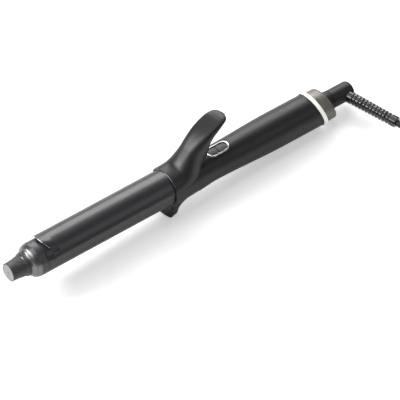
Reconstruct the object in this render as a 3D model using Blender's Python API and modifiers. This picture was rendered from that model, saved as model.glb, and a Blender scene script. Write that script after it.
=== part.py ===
# Curling tong: heated barrel, sprung clamp with a thumb lever, handle, swivel and mains cord.
# Lengths are metres. The tong is modelled along +X from its tip, then tilted onto its foot and ring.

import math

import bmesh
import bpy
from mathutils import Euler, Matrix, Vector

# Fits and seats
SEAT_GAP = 0.0003
BORE_CLEARANCE = 0.0003
CUT_OVERRUN = 0.004
MERGE = 0.00001
TURN_STEPS = 36
FINE_STEPS = 24
SMALL_STEPS = 12

# Barrel and what closes its front
BARREL_RADIUS = 0.0160
BARREL_WALL = 0.0014
BARREL_FRONT = 0.0322
BARREL_LENGTH = 0.1450
TIP_RADIUS = 0.0085
TIP_LENGTH = 0.0171
TIP_REAR_RADIUS = 0.0113
TIP_WALL = 0.0022
TIP_EDGE = 0.0006
TIP_STEP = 0.0003
TIP_STEP_SHARE = 0.82
TIP_PROFILE_SHARES = ((0.32, 0.09), (0.63, 0.36), (0.82, 0.55))
DISC_RADIUS = 0.0079
DISC_THICKNESS = 0.0016
SHOULDER_FRONT_RADIUS = 0.0115
SHOULDER_RIM = 0.0252
SHOULDER_BEND_SHARE = 0.42
RIM_EDGE = 0.0007
END_CAP_SPIGOT = 0.0090
END_CAP_BORE = 0.0018
SCREW_RADIUS = 0.0015
SCREW_HEAD_RADIUS = 0.0028
SCREW_HEAD_HEIGHT = 0.0018
TIP_SCREW_LENGTH = 0.0220

# Heater inside the barrel
SPREADER_WALL = 0.0016
SPREADER_FRONT_GAP = 0.0038
SPREADER_REAR_GAP = 0.0122
HEATER_MARGIN = 0.0100
HEATER_WIDTH = 0.0100
HEATER_THICKNESS = 0.0024
SENSOR_RADIUS = 0.0012
SENSOR_LENGTH = 0.0050
FUSE_RADIUS = 0.0020
FUSE_LENGTH = 0.0110
LEAD_DIAMETER = 0.0016
LEAD_SPREAD = 0.0030

# Bush that carries the barrel in the handle
BUSH_LENGTH = 0.0200
BUSH_SPIGOT_LENGTH = 0.0070
BUSH_BORE = 0.0065
BARREL_HELD_LENGTH = 0.0062

# Clamp plate
CLAMP_GAP = 0.0008
CLAMP_THICKNESS = 0.0011
CLAMP_HALF_ANGLE = math.radians(68)
CLAMP_FRONT = 0.0336
CLAMP_LIP_LIFT = 0.0012
CLAMP_LIP_LENGTH = 0.0110
CLAMP_LIP_ANGLE = math.radians(42)
CLAMP_SWEEP = 0.0026
TONGUE_HALF_ANGLE = math.radians(24)
TONGUE_LENGTH = 0.0220
CLAMP_SCREW_PITCH = 0.0060
CLAMP_SCREW_LENGTH = 0.0034
CLAMP_SCREW_RADIUS = 0.0010
CLAMP_SCREW_HEAD = 0.0018

# Handle shell and its foot
HANDLE_LENGTH = 0.1740
HANDLE_COVER = 0.0019
HANDLE_WAIST_RADIUS = 0.0154
HANDLE_REAR_RADIUS = 0.0175
REAR_SLANT = 0.36
HANDLE_WALL = 0.0022
HANDLE_WAIST_SHARE = 0.29
HANDLE_NECK_SHARE = 0.17
HANDLE_SWELL_SHARE = 0.75
HOUSING_DEPTH = 0.0130
FOOT_DEPTH = 0.0095
FOOT_AHEAD = 0.0042
FOOT_LENGTH = 0.0134
FOOT_HALF_WIDTH = 0.0128
FOOT_TAPER = 0.0022
FOOT_BOW = 0.0027
FOOT_BOW_SHARE = 0.3
FOOT_LEVEL_SHARES = (0, 0.35, 0.7, 1)
FOOT_FAIRING = 0.0080
FOOT_TOP_INSET = 0.0002
FOOT_TOP_ANGLE = math.radians(47.3)
PAD_THICKNESS = 0.0012
PAD_MARGIN = 0.0012

# Thumb lever and its hinge
LEVER_AHEAD = 0.0002
LEVER_LENGTH = 0.0648
LEVER_RISE = 0.0401
LEVER_INSET = 0.0001
LEVER_WALL = 0.0015
HINGE_SETBACK = 0.0410
HINGE_HEIGHT = 0.0080
PIN_RADIUS = 0.0015
PIN_LENGTH = 0.0150
LUG_THICKNESS = 0.0044
LUG_EYE_RADIUS = 0.0032
LUG_NECK_RADIUS = 0.0020
LUG_LEAN = 0.0110
LUG_RISE = 0.0071
SLOT_REAR = 0.0032
CHEEK_THICKNESS = 0.0018
CHEEK_INSIDE = 0.0056
CHEEK_HEIGHT = 0.0028
CHEEK_HALF_LENGTH = 0.0045
SPACER_WALL = 0.0010
SPRING_WIRE = 0.0009
SPRING_TURNS = 2.5
SPRING_LEG = 0.0080
NOTCH_GAP = 0.0005

# Chassis and boards
CHASSIS_WALL = 0.0014
CHASSIS_HALF_ANGLE = math.radians(96)
CHASSIS_REAR_GAP = 0.0045
POST_RADIUS = 0.0030
SWITCH_LEG_SHARE = 0.93
BOARD_SETBACK = 0.0106
BOARD_REAR_GAP = 0.0135
BOARD_WIDTH = 0.0180
BOARD_THICKNESS = 0.0016
BOARD_HEIGHT = -0.0020
BOARD_HOLE_INSET = 0.0060
CAPACITOR_RADIUS = 0.0042
CAPACITOR_LENGTH = 0.0140
TRIAC_SIZE = Vector((0.0100, 0.0045, 0.0090))
CHOKE_SIZE = Vector((0.0120, 0.0110, 0.0080))
CHIP_SIZE = Vector((0.0090, 0.0090, 0.0012))
CHIP_ASIDE = 0.0035
TRIAC_ASIDE = -0.0055
CHIP_SHARE = 0.24
TRIAC_SHARE = 0.24
CHOKE_SHARE = 0.44
CAPACITOR_SHARE = 0.57

# Keys and their bezel
BEZEL_SETBACK = 0.0189
BEZEL_LENGTH = 0.0245
BEZEL_WIDTH = 0.0123
BEZEL_RING = 0.0014
BEZEL_PROUD = 0.0004
BEZEL_DEPTH = 0.0030
KEY_GAP = 0.0004
KEY_SPLIT = 0.0006
KEY_HEIGHT = 0.0030
KEY_SUNK = 0.0003
KEY_TRAVEL = 0.0006
KEY_STEM_RADIUS = 0.0010
SWITCH_SIZE = Vector((0.0045, 0.0045, 0.0020))
SWITCH_BOARD_SIZE = Vector((0.0200, 0.0080, 0.0012))
SWITCH_POST = 0.0024

# Rear end
RING_WIDTH = 0.0040
RING_PROUD = 0.0007
CAP_LENGTH = 0.0123
CAP_INSET = 0.0005
CAP_DRAFT = 0.0005
CAP_WALL = 0.0024
CAP_EDGE = 0.0030
CAP_SCREW_INSET = 0.0051
CAP_LUG_WIDTH = 0.0052
CAP_SCREW_LENGTH = 0.0080
COLLAR_RADIUS = 0.0097
COLLAR_END_RADIUS = 0.0092
COLLAR_LENGTH = 0.0008
NECK_RADIUS = 0.0091
NECK_LENGTH = 0.0252
NECK_EDGE = 0.0035
SHAFT_RADIUS = 0.0060
SHAFT_LENGTH = 0.0215
SHAFT_BORE = 0.0036
CLIP_THICKNESS = 0.0012
CLIP_RADIUS = 0.0078
GROOVE_DEPTH = 0.0008
SLIP_RING_WIDTH = 0.0022
SLIP_RING_WALL = 0.0008
SLIP_RING_PITCH = 0.0042
BRUSH_WIDTH = 0.0016
BRUSH_THICKNESS = 0.0006

# Strain relief on the neck's side
RELIEF_SETBACK = 0.0087
RELIEF_LENGTH = 0.0510
RELIEF_LEAN = math.radians(17)
RELIEF_DROOP = math.radians(4.5)
RELIEF_RADIUS = 0.0060
RELIEF_END_RADIUS = 0.0054
RELIEF_GROOVE = 0.0010
RELIEF_RIBS = 12
RELIEF_COLLAR = 0.0055
RELIEF_ROOT_SHARE = 0.4
RELIEF_SOCKET_SHARE = 0.5
RIB_EDGE_SHARES = (0.25, 0.75)

# Mains cord, put away in one coil behind the tong
CORD_DIAMETER = 0.0064
CORD_POINT_SPACING = CORD_DIAMETER * 2
ROUTE_AHEAD = 0.0290
ROUTE_ASIDE = 0.0370
COIL_LAYERS = 4
COIL_TURNS_A_LAYER = 2.5125
COIL_POINTS_A_TURN = 24
COIL_MEAN_RADIUS = 0.0375
COIL_PITCH = 0.0070
COIL_AHEAD = 0.0730
COIL_START = math.radians(-120)
TAIL_RADIUS = 0.0300
TAIL_TURN = math.radians(100)
TAIL_RISE_TURN = math.radians(60)
TIE_WIDTH = 0.0120
TIE_THICKNESS = 0.0010
TIE_ANGLE = math.radians(165)
PLUG_LENGTH = 0.0350
PLUG_WIDTH = 0.0350
PLUG_REAR_WIDTH = 0.0160
PLUG_THICKNESS = 0.0137
PLUG_OUTLINE_SHARES = ((0.5, 0.72), (0.8, 1), (1, 1))
PLUG_EDGE = 0.0016
PLUG_PIN_RADIUS = 0.0020
PLUG_PIN_LENGTH = 0.0190
PLUG_PIN_PITCH = 0.0186
PLUG_RELIEF_LENGTH = 0.0200
PLUG_RELIEF_RADIUS = 0.0052
PLUG_RELIEF_RIBS = 5

# Places worked out from the sizes above
BARREL_REAR = BARREL_FRONT + BARREL_LENGTH
BARREL_BORE = BARREL_RADIUS - BARREL_WALL
SPREADER_FRONT = BARREL_FRONT + END_CAP_SPIGOT + SPREADER_FRONT_GAP
SPREADER_LENGTH = BARREL_REAR - BUSH_LENGTH - SPREADER_REAR_GAP - SPREADER_FRONT
HEATER_LENGTH = SPREADER_LENGTH - HEATER_MARGIN * 2
HANDLE_FRONT_RADIUS = BARREL_RADIUS + HANDLE_COVER
HANDLE_FRONT = BARREL_REAR - BARREL_HELD_LENGTH
HANDLE_REAR = HANDLE_FRONT + HANDLE_LENGTH
FOOT_FRONT = HANDLE_FRONT - FOOT_AHEAD
FOOT_DROP = HANDLE_FRONT_RADIUS + FOOT_DEPTH
FOOT_TOP_DROP = (HANDLE_FRONT_RADIUS - FOOT_TOP_INSET) * math.cos(FOOT_TOP_ANGLE)
FOOT_TOP_HALF_WIDTH = (HANDLE_FRONT_RADIUS - FOOT_TOP_INSET) * math.sin(FOOT_TOP_ANGLE)
LEVER_FRONT = HANDLE_FRONT - LEVER_AHEAD
LEVER_HALF_WIDTH = HANDLE_FRONT_RADIUS - LEVER_INSET
HINGE_STATION = HANDLE_FRONT + HINGE_SETBACK
LUG_TOP_STATION = HINGE_STATION - LUG_LEAN
BEZEL_STATION = HINGE_STATION + BEZEL_SETBACK
BOARD_FRONT = BEZEL_STATION + BOARD_SETBACK
BOARD_LENGTH = HANDLE_REAR - BOARD_REAR_GAP - BOARD_FRONT
RING_RADIUS = HANDLE_REAR_RADIUS + RING_PROUD
RING_FRONT = HANDLE_REAR + SEAT_GAP
RING_REAR = RING_FRONT + RING_WIDTH
CAP_RADIUS = HANDLE_REAR_RADIUS - CAP_INSET
CAP_REAR_RADIUS = CAP_RADIUS - CAP_DRAFT
CAP_FRONT = RING_REAR + SEAT_GAP
CAP_REAR = CAP_FRONT + CAP_LENGTH
COLLAR_REAR = CAP_REAR + SEAT_GAP + REAR_SLANT * COLLAR_RADIUS + COLLAR_LENGTH
NECK_FRONT = COLLAR_REAR + SEAT_GAP
NECK_REAR = NECK_FRONT + NECK_LENGTH
CAP_SPIGOT = HANDLE_REAR_RADIUS - HANDLE_WALL - BORE_CLEARANCE * 2
CAP_SCREW_SPREAD = CAP_SPIGOT - CAP_SCREW_INSET
CLAMP_INSIDE = BARREL_RADIUS + CLAMP_GAP
CLAMP_OUTSIDE = CLAMP_INSIDE + CLAMP_THICKNESS
LUG_TOP_HEIGHT = CLAMP_OUTSIDE + LUG_RISE
FOOT_MIDDLE = FOOT_FRONT + FOOT_LENGTH / 2
RING_HEEL = RING_REAR - TIP_EDGE / 2 + REAR_SLANT * RING_RADIUS
TILT = math.atan2(FOOT_DROP - RING_RADIUS, RING_HEEL - FOOT_MIDDLE)
FLOOR_SHIFT = RING_HEEL * math.sin(TILT) + RING_RADIUS * math.cos(TILT)
NECK_FLAT_RADIUS = NECK_RADIUS - NECK_EDGE
FRONT_REACH = -(TIP_RADIUS - TIP_EDGE / 2) * math.sin(TILT)
REAR_REACH = NECK_REAR * math.cos(TILT) + NECK_FLAT_RADIUS * math.sin(TILT)
ORIGIN_SHIFT = -(FRONT_REACH + REAR_REACH) / 2
RELIEF_STATION = NECK_REAR - RELIEF_SETBACK
CORD_RADIUS = CORD_DIAMETER / 2
CHASSIS_OUTSIDE = HANDLE_WAIST_RADIUS - HANDLE_WALL - BORE_CLEARANCE
CHASSIS_INSIDE = CHASSIS_OUTSIDE - CHASSIS_WALL
CLAMP_SCREWS = ("clamp_screw_front", "clamp_screw_rear")
CLAMP_SCREW_STATIONS = (
    LEVER_FRONT + TONGUE_LENGTH - CLAMP_SCREW_PITCH * 1.5,
    LEVER_FRONT + TONGUE_LENGTH - CLAMP_SCREW_PITCH * 0.5,
)

for old in list(bpy.data.objects):
    bpy.data.objects.remove(old, do_unlink=True)

parts = bpy.data.collections.new("curling_tong")
cutters = bpy.data.collections.new("cutters")
bpy.context.scene.collection.children.link(parts)
bpy.context.scene.collection.children.link(cutters)


def make_material(name, colour, roughness, metallic=0.0):
    """A plain surface with the colour (linear red, green, blue), roughness and metallic value given."""
    made = bpy.data.materials.new(name)
    made.use_nodes = True
    shader = made.node_tree.nodes["Principled BSDF"]
    shader.inputs["Base Color"].default_value = (*colour, 1)
    shader.inputs["Roughness"].default_value = roughness
    shader.inputs["Metallic"].default_value = metallic
    return made


SOFT_BLACK = make_material("soft_touch_black", (0.024, 0.024, 0.025), 0.55)
CHARCOAL = make_material("charcoal_coating", (0.030, 0.030, 0.032), 0.38)
TIP_PLASTIC = make_material("tip_plastic", (0.040, 0.040, 0.040), 0.50)
SATIN_GREY = make_material("satin_grey", (0.270, 0.270, 0.270), 0.35, 0.6)
BRIGHT = make_material("bright_trim", (0.800, 0.800, 0.800), 0.20, 1.0)
KEY_GREY = make_material("key_grey", (0.110, 0.110, 0.110), 0.45)
WHITE = make_material("white_ring", (0.850, 0.850, 0.850), 0.35)
TAUPE = make_material("taupe_cap", (0.200, 0.190, 0.170), 0.35, 0.4)
BLACK_PVC = make_material("black_pvc", (0.012, 0.012, 0.013), 0.30)
STEEL = make_material("bright_steel", (0.550, 0.550, 0.560), 0.30, 1.0)
ALUMINIUM = make_material("plain_aluminium", (0.600, 0.600, 0.610), 0.35, 1.0)
COPPER = make_material("copper_alloy", (0.700, 0.350, 0.180), 0.30, 1.0)
CERAMIC = make_material("white_ceramic", (0.700, 0.680, 0.640), 0.50)
CHASSIS_PLASTIC = make_material("chassis_plastic", (0.080, 0.080, 0.085), 0.55)
BOARD_GREEN = make_material("board_green", (0.020, 0.120, 0.045), 0.45)
WIRE_RED = make_material("wire_red", (0.450, 0.030, 0.020), 0.45)
WIRE_BLUE = make_material("wire_blue", (0.020, 0.060, 0.400), 0.45)
PLUG_BRASS = make_material("nickel_brass", (0.650, 0.600, 0.500), 0.25, 1.0)


def make_frame(name, place, parent=None, turn=(0, 0, 0)):
    """An empty that carries pieces, at a place in its parent's frame."""
    made = bpy.data.objects.new(name, None)
    made.parent = parent
    made.location = place
    made.rotation_euler = turn
    parts.objects.link(made)
    return made


TONG = make_frame("tong_frame", (ORIGIN_SHIFT, 0, FLOOR_SHIFT), turn=(0, TILT, 0))
HINGE = make_frame("clamp_hinge", (HINGE_STATION, 0, HINGE_HEIGHT), TONG)
SWIVEL = make_frame("swivel_axis", (NECK_FRONT, 0, 0), TONG)
bpy.context.view_layer.update()


def finish(made, material, parent=TONG):
    """Give a piece its material and carry it on a frame, with its place kept in the tong's frame."""
    if material:
        made.data.materials.clear()
        made.data.materials.append(material)
        parts.objects.link(made)
    else:
        cutters.objects.link(made)
        made.hide_render = True
        made.display_type = "WIRE"
    made.parent = parent
    if parent in (HINGE, SWIVEL):
        made.matrix_parent_inverse = Matrix.Translation(parent.location).inverted()
    if made.type == "MESH":
        made.data.shade_smooth()
        made.data.set_sharp_from_angle(angle=math.radians(35))
    return made


def cut(made, *tools, operation="DIFFERENCE"):
    """Cut a piece by other solids, or join them to it."""
    for tool in tools:
        step = made.modifiers.new(tool.name, "BOOLEAN")
        step.operation = operation
        step.object = tool
        step.solver = "EXACT"


def turned(name, profile, material, parent=TONG, steps=TURN_STEPS, closed=False):
    """A solid turned about the tong's axis. Its profile is (station, radius), outer side first."""
    mesh = bpy.data.meshes.new(name)
    count = len(profile)
    edges = [(i, i + 1) for i in range(count - 1)]
    if closed:
        edges.append((count - 1, 0))
    mesh.from_pydata([(radius, 0, -station) for station, radius in profile], edges, [])
    made = bpy.data.objects.new(name, mesh)
    spin = made.modifiers.new("spin", "SCREW")
    spin.steps = steps
    spin.render_steps = steps
    spin.use_merge_vertices = True
    spin.merge_threshold = MERGE
    spin.use_smooth_shade = True
    made.rotation_euler = Euler((0, -math.pi / 2, 0))
    return finish(made, material, parent)


def ring_profile(front, rear, outside, inside, edge=0.0):
    """A plain ring's profile, with its outer corners eased when an edge is given."""
    outer = [(front, outside), (rear, outside)]
    if edge:
        outer = [
            (front, outside - edge),
            (front + edge, outside),
            (rear - edge, outside),
            (rear, outside - edge),
        ]
    return outer + [(rear, inside), (front, inside)]


def block(name, size, centre, material, parent=TONG, edge=0.0, turn=None):
    """A box of a size about a centre, with its edges eased when an edge is given."""
    work = bmesh.new()
    bmesh.ops.create_cube(work, size=1.0, matrix=Matrix.Diagonal((*size, 1)))
    mesh = bpy.data.meshes.new(name)
    work.to_mesh(mesh)
    work.free()
    made = bpy.data.objects.new(name, mesh)
    made.location = centre
    if turn:
        made.rotation_euler = turn
    if edge:
        easing = made.modifiers.new("edge", "BEVEL")
        easing.width = edge
        easing.segments = 2
    return finish(made, material, parent)


def rod(name, radius, start, end, material, parent=TONG, steps=SMALL_STEPS, end_radius=None):
    """A round bar, or a cone, between two points."""
    start, end = Vector(start), Vector(end)
    work = bmesh.new()
    bmesh.ops.create_cone(
        work,
        cap_ends=True,
        segments=steps,
        radius1=radius,
        radius2=radius if end_radius is None else end_radius,
        depth=(end - start).length,
    )
    mesh = bpy.data.meshes.new(name)
    work.to_mesh(mesh)
    work.free()
    made = bpy.data.objects.new(name, mesh)
    made.location = (start + end) / 2
    made.rotation_euler = (end - start).to_track_quat("Z", "Y").to_euler()
    return finish(made, material, parent)


def flat_piece(name, outline, half_thickness, material, parent=TONG):
    """A flat solid: an outline of (station, height) in the side view, made thick both ways across it."""
    curve = bpy.data.curves.new(name, "CURVE")
    curve.dimensions = "2D"
    curve.fill_mode = "BOTH"
    curve.extrude = half_thickness
    curve.resolution_u = 1
    line = curve.splines.new("POLY")
    line.points.add(len(outline) - 1)
    line.use_cyclic_u = True
    for point, (station, height) in zip(line.points, outline):
        point.co = (station, height, 0, 1)
    return solid_of(name, curve, material, parent, Euler((math.pi / 2, 0, 0)))


def solid_of(name, curve, material, parent, turn=None):
    """The closed mesh that a curve makes, welded, with the curve itself removed."""
    guide = bpy.data.objects.new(name + "_guide", curve)
    if turn:
        guide.rotation_euler = turn
    cutters.objects.link(guide)
    bpy.context.view_layer.update()
    graph = bpy.context.evaluated_depsgraph_get()
    mesh = bpy.data.meshes.new_from_object(guide.evaluated_get(graph))
    work = bmesh.new()
    work.from_mesh(mesh)
    bmesh.ops.remove_doubles(work, verts=work.verts, dist=MERGE)
    bmesh.ops.recalc_face_normals(work, faces=work.faces)
    work.to_mesh(mesh)
    work.free()
    mesh.name = name
    made = bpy.data.objects.new(name, mesh)
    made.matrix_world = guide.matrix_world
    bpy.data.objects.remove(guide, do_unlink=True)
    return finish(made, material, parent)


def tube(name, points, radius, material, parent=TONG, resolution=2, radii=None):
    """A round tube through points, with closed ends. radii swell or narrow it at each point."""
    curve = bpy.data.curves.new(name, "CURVE")
    curve.dimensions = "3D"
    curve.bevel_depth = radius
    curve.bevel_resolution = resolution
    curve.use_fill_caps = True
    line = curve.splines.new("POLY")
    line.points.add(len(points) - 1)
    for index, place in enumerate(points):
        line.points[index].co = (*place, 1)
        if radii:
            line.points[index].radius = radii[index] / radius
    line.use_smooth = True
    made = bpy.data.objects.new(name, curve)
    return finish(made, material, parent)


def lofted(name, rings, material, parent=TONG):
    """A closed solid through rings of points, each with as many points as the next, capped at both ends."""
    work = bmesh.new()
    rows = [[work.verts.new(point) for point in ring] for ring in rings]
    count = len(rows[0])
    for row, following in zip(rows, rows[1:]):
        for index in range(count):
            beside = (index + 1) % count
            work.faces.new((row[index], row[beside], following[beside], following[index]))
    work.faces.new(list(reversed(rows[0])))
    work.faces.new(rows[-1])
    bmesh.ops.recalc_face_normals(work, faces=work.faces)
    mesh = bpy.data.meshes.new(name)
    work.to_mesh(mesh)
    work.free()
    made = bpy.data.objects.new(name, mesh)
    return finish(made, material, parent)


def screw_piece(name, head, direction, length, material=STEEL, parent=TONG,
                radius=SCREW_RADIUS, head_radius=SCREW_HEAD_RADIUS, head_height=SCREW_HEAD_HEIGHT):
    """A pan-head screw: its head's underside sits at a point and its shank runs along a direction."""
    head, direction = Vector(head), Vector(direction).normalized()
    made = rod(name, head_radius, head - direction * head_height, head, material, parent)
    under_head = head - direction * head_height / 2
    shank = rod(name + "_shank", radius, under_head, head + direction * length, None, parent)
    cut(made, shank, operation="UNION")
    return made


def lean_back(made):
    """Shear a turned piece along the tong, so that its faces take the slant of the handle's rear end."""
    bpy.context.view_layer.update()
    graph = bpy.context.evaluated_depsgraph_get()
    mesh = bpy.data.meshes.new_from_object(made.evaluated_get(graph))
    made.modifiers.clear()
    slant = Matrix.Identity(4)
    slant[2][0] = REAR_SLANT
    mesh.transform(slant)
    mesh.name = made.name
    made.data = mesh
    made.data.set_sharp_from_angle(angle=math.radians(35))
    return made


def slant_cutter(name, station, way):
    """A big block behind (1) or ahead (-1) of the slanted plane that crosses the axis at a station."""
    size = HANDLE_FRONT_RADIUS * 4
    turn = math.atan(REAR_SLANT)
    centre = Vector((station, 0, 0)) + Vector((math.cos(turn), 0, math.sin(turn))) * way * size / 2
    return block(name, (size, size, size), centre, None, turn=(0, -turn, 0))


def smooth_share(share):
    """Ease from 0 to 1, flat at both ends."""
    share = min(max(share, 0), 1)
    return share * share * (3 - 2 * share)


def handle_radius(station):
    """Outer radius of the handle shell: full at the front, narrow at the waist, full again at the rear."""
    share = (station - HANDLE_FRONT) / HANDLE_LENGTH
    if share < HANDLE_WAIST_SHARE:
        middle = (HANDLE_FRONT_RADIUS + HANDLE_WAIST_RADIUS) / 2
        if share < HANDLE_NECK_SHARE:
            eased = smooth_share(share / HANDLE_NECK_SHARE)
            return HANDLE_FRONT_RADIUS + (middle - HANDLE_FRONT_RADIUS) * eased
        rest = (share - HANDLE_NECK_SHARE) / (HANDLE_WAIST_SHARE - HANDLE_NECK_SHARE)
        return middle + (HANDLE_WAIST_RADIUS - middle) * smooth_share(rest)
    rest = (share - HANDLE_WAIST_SHARE) / (HANDLE_SWELL_SHARE - HANDLE_WAIST_SHARE)
    return HANDLE_WAIST_RADIUS + (HANDLE_REAR_RADIUS - HANDLE_WAIST_RADIUS) * smooth_share(rest)


def round_corner(station, radius, edge, steps=4):
    """Points of a quarter round, from a turned piece's side to its rear face."""
    points = []
    for i in range(steps + 1):
        angle = math.pi / 2 * i / steps
        points.append((station - edge * (1 - math.sin(angle)), radius - edge * (1 - math.cos(angle))))
    return points


# Cool tip, its disc and the screw that holds it
def make_tip():
    flare = TIP_REAR_RADIUS - TIP_RADIUS
    recess = DISC_THICKNESS + SEAT_GAP
    tip_profile = [
        (0, DISC_RADIUS + BORE_CLEARANCE),
        (0, TIP_RADIUS - TIP_EDGE / 2),
        (TIP_EDGE, TIP_RADIUS),
        *[(TIP_LENGTH * along, TIP_RADIUS + flare * out) for along, out in TIP_PROFILE_SHARES],
        (TIP_LENGTH * TIP_STEP_SHARE + TIP_STEP, TIP_RADIUS + flare * TIP_PROFILE_SHARES[-1][1] + TIP_STEP),
        (TIP_LENGTH, TIP_REAR_RADIUS),
        (TIP_LENGTH, TIP_REAR_RADIUS - TIP_WALL),
        (recess + TIP_WALL, TIP_RADIUS - TIP_WALL),
        (recess + TIP_WALL, SCREW_RADIUS + BORE_CLEARANCE),
        (recess, SCREW_RADIUS + BORE_CLEARANCE),
        (recess, DISC_RADIUS + BORE_CLEARANCE),
    ]
    turned("cool_tip", tip_profile, TIP_PLASTIC, closed=True)
    pocket = SCREW_HEAD_RADIUS + BORE_CLEARANCE
    disc_profile = [
        (0, 0),
        (0, DISC_RADIUS - TIP_EDGE / 2),
        (TIP_EDGE / 2, DISC_RADIUS),
        (DISC_THICKNESS, DISC_RADIUS),
        (DISC_THICKNESS, pocket),
        (DISC_THICKNESS / 2, pocket),
        (DISC_THICKNESS / 2, 0),
    ]
    turned("tip_disc", disc_profile, SATIN_GREY, steps=FINE_STEPS)
    head_height = DISC_THICKNESS / 2
    screw_piece("tip_screw", (recess - SEAT_GAP / 2, 0, 0), (1, 0, 0), TIP_SCREW_LENGTH,
                head_height=head_height - SEAT_GAP)


# Satin shoulder that plugs the barrel's front
def make_end_cap():
    front = TIP_LENGTH + SEAT_GAP
    rise = BARREL_RADIUS - SHOULDER_FRONT_RADIUS
    run = SHOULDER_RIM - front
    seat = BARREL_FRONT - SEAT_GAP
    spigot = BARREL_BORE - BORE_CLEARANCE
    spigot_rear = BARREL_FRONT + END_CAP_SPIGOT
    profile = [
        (front, SHOULDER_FRONT_RADIUS),
        (front + run * SHOULDER_BEND_SHARE, SHOULDER_FRONT_RADIUS + rise / 2),
        (SHOULDER_RIM - RIM_EDGE, BARREL_RADIUS - RIM_EDGE / 2),
        (SHOULDER_RIM, BARREL_RADIUS),
        (seat, BARREL_RADIUS),
        (seat, spigot),
        (spigot_rear, spigot),
        (spigot_rear, END_CAP_BORE),
        (front, END_CAP_BORE),
    ]
    turned("barrel_end_cap", profile, SATIN_GREY, closed=True)


# Barrel tube and the insulating bush that carries it
def make_barrel():
    profile = ring_profile(BARREL_FRONT, BARREL_REAR, BARREL_RADIUS, BARREL_BORE)
    turned("barrel", profile, CHARCOAL, closed=True)
    outside = BARREL_BORE - BORE_CLEARANCE
    front = BARREL_REAR - BUSH_LENGTH
    flange = BARREL_REAR + SEAT_GAP
    profile = [
        (front, outside),
        (flange, outside),
        (flange, BARREL_RADIUS),
        (flange + BARREL_WALL, BARREL_RADIUS),
        (flange + BARREL_WALL, CHASSIS_INSIDE - BORE_CLEARANCE),
        (flange + BARREL_WALL + BUSH_SPIGOT_LENGTH, CHASSIS_INSIDE - BORE_CLEARANCE),
        (flange + BARREL_WALL + BUSH_SPIGOT_LENGTH, BUSH_BORE),
        (front, BUSH_BORE),
    ]
    turned("barrel_bush", profile, CERAMIC, closed=True)


def half_moon(name, side):
    """A hollow D section along the barrel: its flat faces the heater, its back the barrel's bore."""
    outside = BARREL_BORE - BORE_CLEARANCE
    flat = HEATER_THICKNESS / 2 + SEAT_GAP
    inside = outside - SPREADER_WALL
    middle = SPREADER_FRONT + SPREADER_LENGTH / 2
    made = rod(name, outside, (SPREADER_FRONT, 0, 0), (SPREADER_FRONT + SPREADER_LENGTH, 0, 0), ALUMINIUM,
               steps=TURN_STEPS)
    width = outside * 2 + CUT_OVERRUN
    length = SPREADER_LENGTH + CUT_OVERRUN
    waste = block(name + "_waste", (length, width, width), (middle, 0, side * (flat - width / 2)), None)
    hollow = rod(name + "_hollow", inside, (SPREADER_FRONT - CUT_OVERRUN, 0, 0),
                 (SPREADER_FRONT + SPREADER_LENGTH + CUT_OVERRUN, 0, 0), None, steps=TURN_STEPS)
    web = flat + SPREADER_WALL
    keep = block(name + "_web", (length + CUT_OVERRUN * 2, width, width),
                 (middle, 0, side * (web - width / 2)), None)
    cut(hollow, keep)
    cut(made, waste, hollow)
    return web


# Heater strip, spreaders, sensor, fuse and wires
def make_heater():
    web = half_moon("heat_spreader_upper", 1)
    half_moon("heat_spreader_lower", -1)
    middle = SPREADER_FRONT + SPREADER_LENGTH / 2
    block("heater_core", (HEATER_LENGTH, HEATER_WIDTH, HEATER_THICKNESS), (middle, 0, 0), CERAMIC)
    standing = (
        ("thermistor", SENSOR_RADIUS, middle, SENSOR_LENGTH, CERAMIC),
        ("thermal_fuse", FUSE_RADIUS, middle + SENSOR_LENGTH * 2, FUSE_LENGTH, STEEL),
    )
    for name, radius, front, length, material in standing:
        height = web + radius + SEAT_GAP
        rod(name, radius, (front, 0, height), (front + length, 0, height), material)
    heater_rear = middle + HEATER_LENGTH / 2 + SEAT_GAP
    board_face = BOARD_HEIGHT + BOARD_THICKNESS + LEAD_DIAMETER / 2 + SEAT_GAP
    for name, side, material in (("heater_lead_live", 1, WIRE_RED), ("heater_lead_neutral", -1, WIRE_BLUE)):
        y = side * LEAD_SPREAD
        points = [
            (heater_rear, y, 0),
            (SPREADER_FRONT + SPREADER_LENGTH, y, 0),
            (BARREL_REAR, y, -BUSH_BORE / 4),
            (BARREL_REAR + BUSH_LENGTH, y, -BUSH_BORE / 2),
            (HINGE_STATION, y, -BUSH_BORE / 2),
            (BOARD_FRONT - LEAD_DIAMETER * 4, y, -BUSH_BORE / 4),
            (BOARD_FRONT, y, board_face),
            (BOARD_FRONT + LEAD_DIAMETER * 1.5, y, board_face),
        ]
        tube(name, points, LEAD_DIAMETER / 2, material, resolution=0)


def clamp_front(angle):
    """Station of the clamp plate's front edge at an angle from its top: swept back at the lip's sides."""
    share = abs(angle) / CLAMP_LIP_ANGLE
    swept = CLAMP_SWEEP * smooth_share(share) * (1 - smooth_share(share - 1))
    return CLAMP_FRONT + swept


def clamp_point(share_along, angle):
    """A point of the clamp plate's middle surface: a round sheet whose front lip lifts off the barrel."""
    front = clamp_front(angle)
    rear = LEVER_FRONT - SEAT_GAP
    station = front + (rear - front) * share_along
    lift_along = 1 - smooth_share((station - front) / CLAMP_LIP_LENGTH)
    lift_round = 1 - smooth_share(abs(angle) / CLAMP_LIP_ANGLE)
    radius = CLAMP_INSIDE + CLAMP_THICKNESS / 2 + CLAMP_LIP_LIFT * lift_along * lift_round
    return (station, -radius * math.sin(angle), radius * math.cos(angle))


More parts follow.
